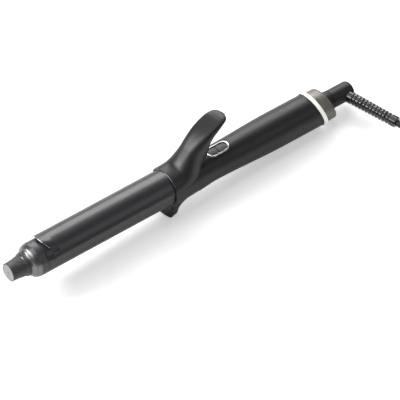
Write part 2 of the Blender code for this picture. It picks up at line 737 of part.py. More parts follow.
# Clamp plate: a curved sheet with a lifted front lip and a tongue under the lever
def make_clamp_plate():
    shares = (0, 0.02, 0.045, 0.08, 0.3, 0.65, 1)
    count = 34
    angles = [CLAMP_HALF_ANGLE * (2 * i / count - 1) for i in range(count + 1)]
    work = bmesh.new()
    rows = [[work.verts.new(clamp_point(share, angle)) for angle in angles] for share in shares]
    radius = CLAMP_INSIDE + CLAMP_THICKNESS / 2
    tongue_rear = LEVER_FRONT + TONGUE_LENGTH
    inner = [i for i, angle in enumerate(angles) if abs(angle) < TONGUE_HALF_ANGLE + MERGE]
    tongue = []
    for i in inner:
        place = (tongue_rear, -radius * math.sin(angles[i]), radius * math.cos(angles[i]))
        tongue.append(work.verts.new(place))
    for row, following in zip(rows, rows[1:]):
        for i in range(count):
            work.faces.new((row[i], row[i + 1], following[i + 1], following[i]))
    last = rows[-1]
    for place, i in enumerate(inner[:-1]):
        work.faces.new((last[i], last[i + 1], tongue[place + 1], tongue[place]))
    bmesh.ops.recalc_face_normals(work, faces=work.faces)
    mesh = bpy.data.meshes.new("clamp_plate")
    work.to_mesh(mesh)
    work.free()
    made = bpy.data.objects.new("clamp_plate", mesh)
    wall = made.modifiers.new("wall", "SOLIDIFY")
    wall.thickness = CLAMP_THICKNESS
    wall.offset = 0
    finish(made, CHARCOAL, HINGE)
    hole = CLAMP_SCREW_RADIUS + BORE_CLEARANCE
    for name, station in zip(CLAMP_SCREWS, CLAMP_SCREW_STATIONS):
        drill = rod(name + "_drill", hole, (station, 0, CLAMP_INSIDE - CUT_OVERRUN / 2),
                    (station, 0, CLAMP_OUTSIDE + CUT_OVERRUN / 2), None, HINGE)
        cut(made, drill)


# Sections of the thumb lever, front to tip. Each has its top middle and its lower edge in the side view, as
# shares of the lever's length and of its rise over the clamp plate, then the half widths at the top and at
# the lower edge as shares of the greatest half width, and the share of the way down that is solid. The last
# value tells how square it is.
LEVER_SECTION_SHARES = [
    ((0.000, 0.0324), (0.003, -0.2670), 1.000, 1.000, 0.145, 2.0),
    ((0.088, 0.0526), (0.119, -0.2598), 0.983, 0.983, 0.163, 2.0),
    ((0.157, 0.0844), (0.242, -0.2294), 0.944, 0.944, 0.233, 2.1),
    ((0.219, 0.1683), (0.358, -0.1846), 0.893, 0.885, 0.366, 2.4),
    ((0.273, 0.2681), (0.474, -0.1340), 0.837, 0.680, 0.473, 2.8),
    ((0.324, 0.3708), (0.571, -0.0819), 0.785, 0.460, 0.558, 3.1),
    ((0.373, 0.4692), (0.636, -0.0255), 0.752, 0.340, 0.680, 3.4),
    ((0.427, 0.5632), (0.640, 0.1148), 0.733, 0.420, 0.985, 3.6),
    ((0.497, 0.6688), (0.639, 0.2898), 0.717, 0.530, 0.985, 3.7),
    ((0.574, 0.7642), (0.651, 0.4706), 0.706, 0.565, 0.985, 3.7),
    ((0.659, 0.8481), (0.701, 0.6355), 0.688, 0.585, 0.985, 3.7),
    ((0.752, 0.9248), (0.779, 0.7657), 0.664, 0.580, 0.985, 3.7),
    ((0.844, 0.9798), (0.861, 0.8597), 0.616, 0.545, 0.985, 3.7),
    ((0.921, 1.0000), (0.929, 0.9074), 0.532, 0.475, 0.985, 3.5),
    ((0.972, 0.9928), (0.975, 0.9248), 0.388, 0.345, 0.985, 3.4),
    ((1.000, 0.9725), (0.998, 0.9421), 0.191, 0.169, 0.985, 2.6),
]


def lever_place(shares):
    """A point of the side view from its shares of the lever's length and of its rise over the clamp."""
    return Vector((LEVER_FRONT + LEVER_LENGTH * shares[0], CLAMP_OUTSIDE + LEVER_RISE * shares[1]))


def lever_ring(section, outer_count=14, inner_count=10):
    """One section of the lever: over the outside from edge to edge, and back along the inside."""
    top, edge = lever_place(section[0]), lever_place(section[1])
    upper, lower = LEVER_HALF_WIDTH * section[2], LEVER_HALF_WIDTH * section[3]
    hollow = section[4]
    power = 2 / section[5]
    down = edge - top
    points = []
    for i in range(outer_count + 1):
        turn = math.pi * (i / outer_count - 0.5)
        side = math.copysign(abs(math.sin(turn)) ** power, turn)
        depth = 1 - math.cos(turn) ** power
        half = upper + (lower - upper) * depth * depth
        place = top + down * depth
        points.append((place.x, half * side, place.y))
    for i in range(inner_count + 1):
        turn = math.pi * (0.5 - i / inner_count)
        side = math.copysign(abs(math.sin(turn)) ** power, turn)
        depth = hollow + (1 - hollow) * (1 - math.cos(turn) ** power)
        half = lower - LEVER_WALL * min(1, (1 - hollow) * 2)
        place = top + down * depth
        points.append((place.x, half * side, place.y))
    return [p for i, p in enumerate(points) if i == 0 or (Vector(p) - Vector(points[i - 1])).length > MERGE]


# Thumb lever: saddle over the handle's front, paddle above it and a hinge lug below
def make_lever():
    rings = [lever_ring(section) for section in LEVER_SECTION_SHARES]
    made = lofted("thumb_lever", rings, SOFT_BLACK, HINGE)
    lug_half = LUG_THICKNESS / 2
    eye = rod("lug_eye", LUG_EYE_RADIUS, (HINGE_STATION, -lug_half, HINGE_HEIGHT),
              (HINGE_STATION, lug_half, HINGE_HEIGHT), None, HINGE, FINE_STEPS)
    lean = Vector((LUG_TOP_STATION - HINGE_STATION, LUG_TOP_HEIGHT - HINGE_HEIGHT)).normalized()
    across = Vector((lean.y, -lean.x)) * LUG_NECK_RADIUS
    foot, head = Vector((HINGE_STATION, HINGE_HEIGHT)), Vector((LUG_TOP_STATION, LUG_TOP_HEIGHT))
    outline = [foot + across, head + across * 2, head - across * 2, foot - across]
    neck = flat_piece("lug_neck", outline, lug_half, None, HINGE)
    bore = rod("lug_bore", PIN_RADIUS + BORE_CLEARANCE, (HINGE_STATION, -LUG_THICKNESS, HINGE_HEIGHT),
               (HINGE_STATION, LUG_THICKNESS, HINGE_HEIGHT), None, HINGE)
    cut(eye, neck, operation="UNION")
    cut(made, eye, operation="UNION")
    cut(made, bore)
    pocket = CLAMP_OUTSIDE + BORE_CLEARANCE
    tongue_half = math.sin(TONGUE_HALF_ANGLE) * CLAMP_OUTSIDE + CUT_OVERRUN / 4
    clear = rod("tongue_pocket", pocket, (LEVER_FRONT - CUT_OVERRUN, 0, 0),
                (LEVER_FRONT + TONGUE_LENGTH + BORE_CLEARANCE, 0, 0), None, HINGE, TURN_STEPS)
    limit = block("tongue_limit", (TONGUE_LENGTH * 3, tongue_half * 2, CLAMP_OUTSIDE * 2),
                  (LEVER_FRONT, 0, CLAMP_OUTSIDE), None, HINGE)
    cut(clear, limit, operation="INTERSECT")
    cut(made, clear)
    for name, station in zip(CLAMP_SCREWS, CLAMP_SCREW_STATIONS):
        hole = rod(name + "_hole", CLAMP_SCREW_RADIUS + BORE_CLEARANCE, (station, 0, CLAMP_OUTSIDE),
                   (station, 0, CLAMP_INSIDE + CLAMP_SCREW_LENGTH + BORE_CLEARANCE), None, HINGE)
        cut(made, hole)
        screw_piece(name, (station, 0, CLAMP_INSIDE - SEAT_GAP), (0, 0, 1), CLAMP_SCREW_LENGTH, parent=HINGE,
                    radius=CLAMP_SCREW_RADIUS, head_radius=CLAMP_SCREW_HEAD, head_height=CLAMP_SCREW_RADIUS)


# Hinge pin, spacer and the spring that closes the clamp
def make_hinge():
    half = PIN_LENGTH / 2
    rod("lever_pin", PIN_RADIUS, (HINGE_STATION, -half, HINGE_HEIGHT),
        (HINGE_STATION, half, HINGE_HEIGHT), STEEL)
    lug_side = LUG_THICKNESS / 2 + SEAT_GAP
    cheek_side = CHEEK_INSIDE - SEAT_GAP
    bore = PIN_RADIUS + BORE_CLEARANCE
    spacer = rod("lever_spacer", bore + SPACER_WALL, (HINGE_STATION, -cheek_side, HINGE_HEIGHT),
                 (HINGE_STATION, -lug_side, HINGE_HEIGHT), CHASSIS_PLASTIC)
    cut(spacer, rod("spacer_bore", bore, (HINGE_STATION, -cheek_side - CUT_OVERRUN, HINGE_HEIGHT),
                    (HINGE_STATION, -lug_side + CUT_OVERRUN, HINGE_HEIGHT), None))
    wire = SPRING_WIRE / 2
    coil_radius = PIN_RADIUS + BORE_CLEARANCE + wire
    start = lug_side + wire
    climb = (cheek_side - wire - start) / SPRING_TURNS
    steps = int(SPRING_TURNS * SMALL_STEPS)
    points = [(HINGE_STATION - SPRING_LEG, start, HINGE_HEIGHT + coil_radius)]
    for i in range(steps + 1):
        turn = i / SMALL_STEPS
        angle = math.pi / 2 - turn * math.tau
        points.append((
            HINGE_STATION + coil_radius * math.cos(angle),
            start + climb * turn,
            HINGE_HEIGHT + coil_radius * math.sin(angle),
        ))
    points.append((HINGE_STATION - SPRING_LEG, points[-1][1], points[-1][2]))
    tube("torsion_spring", points, wire, STEEL, resolution=0)


def stadium(length, width, count=10):
    """Outline of a slot with round ends, in plan: (along, across) points about its middle."""
    radius = width / 2
    reach = length / 2 - radius
    points = []
    for side, start in ((1, math.pi / 2), (-1, -math.pi / 2)):
        for i in range(count + 1):
            angle = start - math.pi * i / count
            points.append((side * reach + radius * math.cos(angle), radius * math.sin(angle)))
    return points


def plan_piece(name, outline, low, high, material, parent=TONG, station=0.0):
    """A prism of a plan outline between two heights above the tong's axis."""
    rings = [[(station + x, y, z) for x, y in outline] for z in (low, high)]
    return lofted(name, rings, material, parent)


# Lower edge of the saddle in the side view, which the handle shell is cut back to
def notch_outline():
    edge = [lever_place(section[1]) for section in LEVER_SECTION_SHARES[:7]]
    front = Vector((HANDLE_FRONT - CUT_OVERRUN, edge[0].y))
    rear = Vector((edge[-1].x + NOTCH_GAP * 2, edge[-1].y + HANDLE_WALL))
    top = HANDLE_FRONT_RADIUS + CUT_OVERRUN
    lowered = [point - Vector((0, NOTCH_GAP)) for point in [front] + edge] + [rear]
    return [tuple(point) for point in lowered] + [(rear.x, top), (front.x, top)]


# Handle shell with its foot, its front notch and the openings for keys and hinge lug
def make_handle():
    length = HANDLE_LENGTH + REAR_SLANT * HANDLE_REAR_RADIUS + CUT_OVERRUN
    station_shares = (0, 0.08, 0.15, 0.22, 0.30, 0.42, 0.54, 0.66, 0.78, 1)
    stations = [HANDLE_FRONT + length * share for share in station_shares]
    outer = [(station, handle_radius(station)) for station in stations]
    step = HANDLE_FRONT + HOUSING_DEPTH
    barrel_fit = BARREL_RADIUS + BORE_CLEARANCE
    hollow = [station for station in reversed(stations) if station > step] + [step]
    inner = [(station, handle_radius(station) - HANDLE_WALL) for station in hollow]
    inner += [(step, barrel_fit), (HANDLE_FRONT, barrel_fit)]
    made = turned("handle_sleeve", outer + inner, SOFT_BLACK, closed=True)
    cut(made, slant_cutter("handle_end", HANDLE_REAR, 1))

    drop = FOOT_DROP - PAD_THICKNESS
    slope = math.tan(TILT)
    levels = []
    front_half, rear_half = FOOT_HALF_WIDTH, FOOT_HALF_WIDTH - FOOT_TAPER
    for share in FOOT_LEVEL_SHARES:
        flare = 1 - share
        height = -FOOT_TOP_DROP * flare - drop * share
        front = FOOT_FRONT * share + HANDLE_FRONT * flare
        rear = FOOT_FRONT + FOOT_LENGTH + FOOT_FAIRING * flare ** 3
        width = front_half * share + FOOT_TOP_HALF_WIDTH * flare
        narrow = rear_half * share + FOOT_TOP_HALF_WIDTH * flare
        bow = FOOT_BOW * share
        ring = [
            (front + bow, -width),
            (front + bow * FOOT_BOW_SHARE, -width / 2),
            (front, 0),
            (front + bow * FOOT_BOW_SHARE, width / 2),
            (front + bow, width),
            (rear, narrow),
            (rear, -narrow),
        ]
        levels.append([(x, y, height + (x - FOOT_MIDDLE) * slope * share) for x, y in ring])
    foot = lofted("foot_form", levels, None)
    cut(foot, rod("foot_bore", barrel_fit, (FOOT_FRONT - CUT_OVERRUN, 0, 0),
                  (step + HOUSING_DEPTH * 2, 0, 0), None, steps=TURN_STEPS))
    cut(made, foot, operation="UNION")
    cut(made, flat_piece("saddle_notch", notch_outline(), HANDLE_FRONT_RADIUS + CUT_OVERRUN, None))
    slot_half = LUG_THICKNESS / 2 + BORE_CLEARANCE * 2
    slot_front = lever_place(LEVER_SECTION_SHARES[4][1]).x
    slot_rear = HINGE_STATION + SLOT_REAR
    cut(made, block("lug_slot", (slot_rear - slot_front, slot_half * 2, HANDLE_FRONT_RADIUS),
                    ((slot_rear + slot_front) / 2, 0, HANDLE_FRONT_RADIUS), None))
    gap = BORE_CLEARANCE * 2
    opening = stadium(BEZEL_LENGTH + gap, BEZEL_WIDTH + gap)
    cut(made, plan_piece("bezel_opening", opening, HANDLE_WAIST_RADIUS / 2,
                         HANDLE_FRONT_RADIUS + CUT_OVERRUN, None, station=BEZEL_STATION))

    base = [(x, y) for x, y, _ in levels[-1]]
    middle_x = sum(x for x, _ in base) / len(base)
    shrink = 1 - PAD_MARGIN / FOOT_HALF_WIDTH
    pad = [(middle_x + (x - middle_x) * shrink, y * shrink) for x, y in base]
    rings = []
    for height in (-drop - SEAT_GAP, -FOOT_DROP):
        rings.append([(x, y, height + (x - FOOT_MIDDLE) * slope) for x, y in pad])
    lofted("foot_pad", rings, BLACK_PVC)


# Bezel, keys, key switches and their board
def make_keys():
    surface = handle_radius(BEZEL_STATION)
    rim = surface + BEZEL_PROUD
    outside = stadium(BEZEL_LENGTH, BEZEL_WIDTH)
    hole = stadium(BEZEL_LENGTH - BEZEL_RING * 2, BEZEL_WIDTH - BEZEL_RING * 2)

    def draped(outline, height):
        """Heights that follow the round handle under a plan outline."""
        ring = []
        for x, y in outline:
            station = BEZEL_STATION + x
            radius = handle_radius(station) + height
            ring.append((station, y, math.sqrt(radius * radius - y * y)))
        return ring

    bezel = lofted("button_bezel", [draped(outside, BEZEL_PROUD), draped(outside, -BEZEL_DEPTH)], BRIGHT)
    cut(bezel, plan_piece("bezel_hole", hole, 0, rim + CUT_OVERRUN, None, station=BEZEL_STATION))

    margin = BEZEL_RING + KEY_GAP
    key_outline = stadium(BEZEL_LENGTH - margin * 2, BEZEL_WIDTH - margin * 2)
    switch_top = surface - KEY_SUNK - KEY_HEIGHT - KEY_TRAVEL - KEY_STEM_RADIUS
    key_rings = [draped(key_outline, -KEY_SUNK), draped(key_outline, -KEY_SUNK - KEY_HEIGHT)]
    reach = BEZEL_LENGTH / 2 - margin
    for name, side in (("front_button", -1), ("rear_button", 1)):
        place = BEZEL_STATION + side * reach / 2
        frame = make_frame(name + "_axis", (place, 0, switch_top), TONG)
        bpy.context.view_layer.update()
        key = lofted(name, key_rings, KEY_GREY)
        half = block(name + "_half", (reach * 2, BEZEL_WIDTH, surface * 2),
                     (BEZEL_STATION - side * (reach - KEY_SPLIT / 2), 0, surface), None)
        cut(key, half)
        stem = rod(name + "_stem", KEY_STEM_RADIUS, (place, 0, surface - KEY_SUNK - KEY_HEIGHT / 2),
                   (place, 0, switch_top + KEY_TRAVEL + SEAT_GAP), None)
        cut(key, stem, operation="UNION")
        key.parent = frame
        key.matrix_parent_inverse = Matrix.Translation(frame.location).inverted()
    switch_middle = switch_top - SWITCH_SIZE.z / 2
    for name, side in (("front_switch", -1), ("rear_switch", 1)):
        block(name, SWITCH_SIZE, (BEZEL_STATION + side * reach / 2, 0, switch_middle), CHASSIS_PLASTIC)
    board_middle = switch_top - SWITCH_SIZE.z - SEAT_GAP - SWITCH_BOARD_SIZE.z / 2
    block("switch_board", SWITCH_BOARD_SIZE, (BEZEL_STATION, 0, board_middle), BOARD_GREEN)
    return board_middle - SWITCH_BOARD_SIZE.z / 2


# Chassis tray with hinge cheeks, board posts and the seat of the switch board
def make_chassis(switch_seat):
    front = BARREL_REAR + BARREL_WALL + SEAT_GAP * 2
    rear = HANDLE_REAR - CHASSIS_REAR_GAP
    outside = CHASSIS_OUTSIDE
    inside = CHASSIS_INSIDE
    made = turned("inner_chassis", ring_profile(front, rear, outside, inside), CHASSIS_PLASTIC, closed=True)
    open_height = -outside * math.cos(CHASSIS_HALF_ANGLE)
    middle = (front + rear) / 2
    cut(made, block("tray_opening", (rear - front + CUT_OVERRUN, outside * 3, outside * 2),
                    (middle, 0, open_height + outside), None))
    floor = -(inside + CHASSIS_WALL / 2)

    def add(tool):
        cut(made, tool, operation="UNION")

    cheek_top = HINGE_HEIGHT + CHEEK_HEIGHT
    for side in (-1, 1):
        y = side * (CHEEK_INSIDE + CHEEK_THICKNESS / 2)
        low = -math.sqrt(inside * inside - y * y) - CHASSIS_WALL / 2
        add(block(f"cheek_{side}", (CHEEK_HALF_LENGTH * 2, CHEEK_THICKNESS, cheek_top - low),
                  (HINGE_STATION, y, (cheek_top + low) / 2), None))
    for place in (BOARD_FRONT + BOARD_HOLE_INSET, BOARD_FRONT + BOARD_LENGTH - BOARD_HOLE_INSET):
        add(rod(f"board_post_{place:.3f}", POST_RADIUS, (place, 0, floor),
                (place, 0, BOARD_HEIGHT - SEAT_GAP), None))
    spread = SWITCH_BOARD_SIZE.x / 2 - SWITCH_POST
    for side in (-1, 1):
        place = BEZEL_STATION + side * spread
        y = BOARD_WIDTH / 2 + SEAT_GAP + SWITCH_POST / 2
        low = -math.sqrt(inside * inside - y * y) - CHASSIS_WALL / 2
        top = switch_seat - SEAT_GAP
        for across in (-1, 1):
            add(block(f"switch_leg_{side}_{across}", (SWITCH_POST, SWITCH_POST / 2, top - low),
                      (place, across * y * SWITCH_LEG_SHARE, (top + low) / 2), None))
        add(block(f"switch_bar_{side}", (SWITCH_POST, y * 2, SWITCH_POST / 2),
                  (place, 0, top - SWITCH_POST / 4), None))
    for side in (-1, 1):
        post_end = inside + CHASSIS_WALL / 2
        add(block(f"cap_post_{side}", (CAP_SCREW_LENGTH, CAP_LUG_WIDTH, POST_RADIUS * 2),
                  (rear - CAP_SCREW_LENGTH / 2, side * (post_end - CAP_LUG_WIDTH / 2), 0), None))
    bore = rod("cheek_bore", PIN_RADIUS + BORE_CLEARANCE, (HINGE_STATION, -outside, HINGE_HEIGHT),
               (HINGE_STATION, outside, HINGE_HEIGHT), None)
    cut(made, bore)
    for place in (BOARD_FRONT + BOARD_HOLE_INSET, BOARD_FRONT + BOARD_LENGTH - BOARD_HOLE_INSET):
        cut(made, rod(f"post_bore_{place:.3f}", SCREW_RADIUS + BORE_CLEARANCE,
                      (place, 0, floor + CHASSIS_WALL), (place, 0, BOARD_HEIGHT + CUT_OVERRUN), None))


# Control board and what stands on it
def make_board():
    middle = BOARD_FRONT + BOARD_LENGTH / 2
    board = block("control_board", (BOARD_LENGTH, BOARD_WIDTH, BOARD_THICKNESS),
                  (middle, 0, BOARD_HEIGHT + BOARD_THICKNESS / 2), BOARD_GREEN)
    top = BOARD_HEIGHT + BOARD_THICKNESS + SEAT_GAP
    holes = (BOARD_FRONT + BOARD_HOLE_INSET, BOARD_FRONT + BOARD_LENGTH - BOARD_HOLE_INSET)
    for name, place in zip(("board_screw_front", "board_screw_rear"), holes):
        cut(board, rod(name + "_hole", SCREW_RADIUS + BORE_CLEARANCE, (place, 0, BOARD_HEIGHT - CUT_OVERRUN),
                       (place, 0, BOARD_HEIGHT + CUT_OVERRUN), None))
        screw_piece(name, (place, 0, top), (0, 0, -1), SCREW_HEAD_RADIUS * 2)
    capacitor = BOARD_FRONT + BOARD_LENGTH * CAPACITOR_SHARE
    height = top + CAPACITOR_RADIUS
    rod("board_capacitor", CAPACITOR_RADIUS, (capacitor, 0, height),
        (capacitor + CAPACITOR_LENGTH, 0, height), CHASSIS_PLASTIC, steps=FINE_STEPS)
    pieces = (
        ("control_chip", CHIP_SIZE, CHIP_SHARE, CHIP_ASIDE, CHASSIS_PLASTIC),
        ("board_triac", TRIAC_SIZE, TRIAC_SHARE, TRIAC_ASIDE, CHASSIS_PLASTIC),
        ("board_choke", CHOKE_SIZE, CHOKE_SHARE, 0, COPPER),
    )
    for name, size, share, aside, material in pieces:
        place = BOARD_FRONT + BOARD_LENGTH * share
        block(name, size, (place, aside, top + size.z / 2), material)


# White ring and rear cap, both cut on the slant of the handle's end
def make_rear():
    spigot = CAP_SPIGOT
    ring = ring_profile(RING_FRONT, RING_REAR, RING_RADIUS, spigot + BORE_CLEARANCE, TIP_EDGE / 2)
    lean_back(turned("light_ring", ring, WHITE, closed=True))
    bore = SHAFT_RADIUS + BORE_CLEARANCE
    low = HANDLE_REAR - CHASSIS_REAR_GAP + SEAT_GAP
    spigot_front = low + REAR_SLANT * POST_RADIUS
    lug_depth = spigot_front - low + CAP_WALL
    floor = CAP_REAR - CAP_WALL
    profile = [
        (spigot_front, spigot),
        (CAP_FRONT, spigot),
        (CAP_FRONT, CAP_RADIUS - TIP_EDGE / 2),
        (CAP_FRONT + TIP_EDGE / 2, CAP_RADIUS),
        *round_corner(CAP_REAR, CAP_REAR_RADIUS, CAP_EDGE),
        (CAP_REAR, bore),
        (floor, bore),
        (floor, spigot - CAP_WALL),
        (spigot_front, spigot - CAP_WALL),
    ]
    cap = lean_back(turned("rear_cap", profile, TAUPE, closed=True))
    for name, side in (("cap_screw_left", 1), ("cap_screw_right", -1)):
        y = side * CAP_SCREW_SPREAD
        lug_end = spigot - CAP_WALL / 2
        lug = block(name + "_lug", (lug_depth, CAP_LUG_WIDTH, SCREW_HEAD_RADIUS * 2),
                    (low + lug_depth / 2, side * (lug_end - CAP_LUG_WIDTH / 2), 0), None)
        cut(cap, lug, operation="UNION")
        cut(cap, rod(name + "_hole", CLAMP_SCREW_RADIUS + BORE_CLEARANCE, (low - CUT_OVERRUN, y, 0),
                     (low + lug_depth + CUT_OVERRUN / 4, y, 0), None))
        screw_piece(name, (low + lug_depth + SEAT_GAP, y, 0), (-1, 0, 0), CAP_SCREW_LENGTH,
                    radius=CLAMP_SCREW_RADIUS, head_radius=CLAMP_SCREW_HEAD, head_height=CLAMP_SCREW_RADIUS)
        chassis = bpy.data.objects["inner_chassis"]
        cut(chassis, rod(name + "_bore", CLAMP_SCREW_RADIUS + BORE_CLEARANCE,
                         (HANDLE_REAR - CHASSIS_REAR_GAP - CAP_SCREW_LENGTH, y, 0),
                         (HANDLE_REAR + CUT_OVERRUN, y, 0), None))


# Fixed collar that closes the slanted cap round the swivel
def make_collar():
    bore = SHAFT_RADIUS + BORE_CLEARANCE
    front = CAP_REAR - REAR_SLANT * COLLAR_RADIUS - SEAT_GAP
    profile = [
        (front, COLLAR_RADIUS),
        (CAP_REAR, COLLAR_RADIUS),
        (COLLAR_REAR - TIP_EDGE, COLLAR_END_RADIUS),
        (COLLAR_REAR, COLLAR_END_RADIUS - TIP_EDGE / 2),
        (COLLAR_REAR, bore),
        (front, bore),
    ]
    made = turned("neck_collar", profile, BLACK_PVC, steps=FINE_STEPS, closed=True)
    cut(made, slant_cutter("collar_seat", CAP_REAR + SEAT_GAP, -1))


# Swivel neck, its clip, slip rings and brushes
def make_swivel():
    shaft_front = NECK_FRONT - SHAFT_LENGTH
    groove_rear = CAP_REAR - CAP_WALL - REAR_SLANT * CLIP_RADIUS - SEAT_GAP
    groove_front = groove_rear - CLIP_THICKNESS - SEAT_GAP * 2
    groove = SHAFT_RADIUS - GROOVE_DEPTH
    profile = [
        (shaft_front, 0),
        (shaft_front, SHAFT_RADIUS),
        (groove_front, SHAFT_RADIUS),
        (groove_front, groove),
        (groove_rear, groove),
        (groove_rear, SHAFT_RADIUS),
        (NECK_FRONT, SHAFT_RADIUS),
        (NECK_FRONT, NECK_RADIUS - TIP_EDGE / 2),
        (NECK_FRONT + TIP_EDGE / 2, NECK_RADIUS),
        *round_corner(NECK_REAR, NECK_RADIUS, NECK_EDGE),
        (NECK_REAR, 0),
    ]
    neck = turned("swivel_neck", profile, BLACK_PVC, SWIVEL, FINE_STEPS)
    cut(neck, rod("neck_bore", SHAFT_BORE, (shaft_front - CUT_OVERRUN, 0, 0),
                  (RELIEF_STATION, 0, 0), None, SWIVEL))
    start, way = relief_line()
    inward = start - way * (NECK_RADIUS + RELIEF_COLLAR)
    bottom = inward + way * (NECK_RADIUS * RELIEF_SOCKET_SHARE + RELIEF_COLLAR)
    cut(neck, rod("relief_socket", RELIEF_RADIUS + BORE_CLEARANCE, bottom,
                  start + way * CUT_OVERRUN, None, SWIVEL))
    clip_inside = groove + BORE_CLEARANCE
    clip_front = groove_front + SEAT_GAP
    clip = ring_profile(clip_front, clip_front + CLIP_THICKNESS, CLIP_RADIUS, clip_inside)
    turned("swivel_clip", clip, STEEL, SWIVEL, FINE_STEPS, closed=True)
    ring_inside = SHAFT_RADIUS + BORE_CLEARANCE
    ring_outside = ring_inside + SLIP_RING_WALL
    cap_inside = CAP_SPIGOT - CAP_WALL
    for name, place in (("live", 0), ("neutral", 1)):
        front = shaft_front + SLIP_RING_WIDTH + place * SLIP_RING_PITCH
        slip_ring = ring_profile(front, front + SLIP_RING_WIDTH, ring_outside, ring_inside)
        turned("slip_ring_" + name, slip_ring, COPPER, SWIVEL, FINE_STEPS, closed=True)
        height = ring_outside + SEAT_GAP + BRUSH_THICKNESS / 2
        span = math.sqrt(cap_inside ** 2 - height ** 2) * 2 - SEAT_GAP * 4
        block("brush_" + name, (BRUSH_WIDTH, span, BRUSH_THICKNESS),
              (front + SLIP_RING_WIDTH / 2, 0, height), COPPER)


def relief_line():
    """Where the strain relief meets the neck, and its way: to the near side, leaning back and drooping."""
    way = Vector((
        math.sin(RELIEF_LEAN) * math.cos(RELIEF_DROOP),
        -math.cos(RELIEF_LEAN) * math.cos(RELIEF_DROOP),
        -math.sin(RELIEF_DROOP),
    ))
    return Vector((RELIEF_STATION, 0, 0)) + way * NECK_RADIUS, way


def ribbed(start, way, length, radius, end_radius, groove, ribs, collar):
    """Points and radii of a ribbed sleeve: a plain run, ribs and grooves by turns, and a plain collar."""
    pitch = (length - collar * 2) / ribs
    places, radii = [0.0, collar], [radius, radius]
    for i in range(ribs):
        outer = radius + (end_radius - radius) * i / (ribs - 1)
        places += [collar + pitch * (i + share) for share in RIB_EDGE_SHARES]
        radii += [outer - groove, outer]
    places += [length - collar, length]
    radii += [end_radius, end_radius]
    return [start + way * place for place in places], radii


# Ribbed strain relief, plugged into the neck's side
def make_relief():
    start, way = relief_line()
    sunk = NECK_RADIUS * RELIEF_ROOT_SHARE
    points, radii = ribbed(start - way * sunk, way, RELIEF_LENGTH + sunk, RELIEF_RADIUS,
                           RELIEF_END_RADIUS, RELIEF_GROOVE, RELIEF_RIBS, RELIEF_COLLAR)
    tube("strain_relief", points, RELIEF_RADIUS, BLACK_PVC, SWIVEL, radii=radii)
    end = start + way * RELIEF_LENGTH
    spot = TONG.matrix_world @ end
    heading = TONG.matrix_world.to_3x3() @ way
    return spot, heading


def smooth_route(route, count, steps=20):
    """Evenly spaced points on a smooth curve through chosen points."""
    fine = []
    for i in range(len(route) - 1):
        before = route[i - 1] if i else route[i] * 2 - route[i + 1]
        after = route[i + 2] if i + 2 < len(route) else route[i + 1] * 2 - route[i]
        near, far = route[i], route[i + 1]
        for j in range(steps):
            t = j / steps
            square = (2 * before - 5 * near + 4 * far - after) * t * t
            cube = (3 * near - before - 3 * far + after) * t ** 3
            fine.append((2 * near + (far - before) * t + square + cube) / 2)
    fine.append(route[-1])
    walked = [0.0]
    for first, second in zip(fine, fine[1:]):
        walked.append(walked[-1] + (second - first).length)
    spaced = []
    place = 0
    for i in range(count):
        target = walked[-1] * i / (count - 1)
        while place < len(walked) - 2 and walked[place + 1] < target:
            place += 1
        share = (target - walked[place]) / (walked[place + 1] - walked[place])
        spaced.append(fine[place].lerp(fine[place + 1], share))
    return spaced, walked[-1]


def coil_radius(turn):
    """Radius of the spiral after so many turns: in by one pitch a turn, and out again, by layers."""
    span = COIL_TURNS_A_LAYER * COIL_PITCH
    layer = turn / COIL_TURNS_A_LAYER
    phase = layer % 2
    inward = phase if phase <= 1 else 2 - phase
    return COIL_MEAN_RADIUS + span / 2 - span * inward


def coil_height(turn):
    """Height of the cord's middle after so many turns: level in a layer, climbing in a half turn."""
    floor = TIE_THICKNESS + SEAT_GAP + CORD_RADIUS
    climbed = 0
    for layer in range(1, COIL_LAYERS):
        climbed += smooth_share((turn - layer * COIL_TURNS_A_LAYER) * 2 + 0.5)
    return floor + climbed * COIL_PITCH


def coil_points(centre):
    """The stored cord: a straight run in, the layered spiral, and a tail that rises over its top."""
    turns = COIL_LAYERS * COIL_TURNS_A_LAYER
    steps = round(turns * COIL_POINTS_A_TURN)
    points = []
    for i in range(steps + 1):
        turn = turns * i / steps
        angle = COIL_START + turn * math.tau
        radius = coil_radius(turn)
        around = Vector((radius * math.cos(angle), radius * math.sin(angle), coil_height(turn)))
        points.append(centre + around)
    into = (points[0] - points[1]).normalized()
    into.z = 0
    first = points[0] + into * CORD_DIAMETER
    top = coil_height(turns)
    plug_height = top + CORD_RADIUS + SEAT_GAP + PLUG_THICKNESS / 2
    end_angle = COIL_START + turns * math.tau
    outer = coil_radius(turns)
    middle = centre + Vector((math.cos(end_angle), math.sin(end_angle), 0)) * (outer - TAIL_RADIUS)
    rise_start = COIL_POINTS_A_TURN // 6
    rise_points = COIL_POINTS_A_TURN // 4
    tail = []
    count = round(COIL_POINTS_A_TURN * TAIL_TURN / math.tau)
    for i in range(1, count + 1):
        angle = end_angle + TAIL_TURN * i / count
        way = Vector((math.cos(angle), math.sin(angle), 0))
        tail.append(middle + way * TAIL_RADIUS + Vector((0, 0, top)))
    total = rise_start + rise_points * TAIL_RISE_TURN / math.radians(90)
    rising = points[-rise_start:] + tail
    for i, point in enumerate(rising):
        point.z = top + (plug_height - top) * smooth_share((i + 1) / total)
    heading = Vector((-math.sin(end_angle + TAIL_TURN), math.cos(end_angle + TAIL_TURN), 0))
    last = tail[-1] + heading * CORD_DIAMETER
    points = [first] + points + tail + [last]
    return points, first, into, last, heading


def least_gap(points):
    """The least distance between turns that lie beside each other, surface to surface."""
    window = COIL_POINTS_A_TURN // 2
    least = math.inf
    for i, point in enumerate(points):
        for other in points[i + window:]:
            least = min(least, (point - other).length)
    return least - CORD_DIAMETER


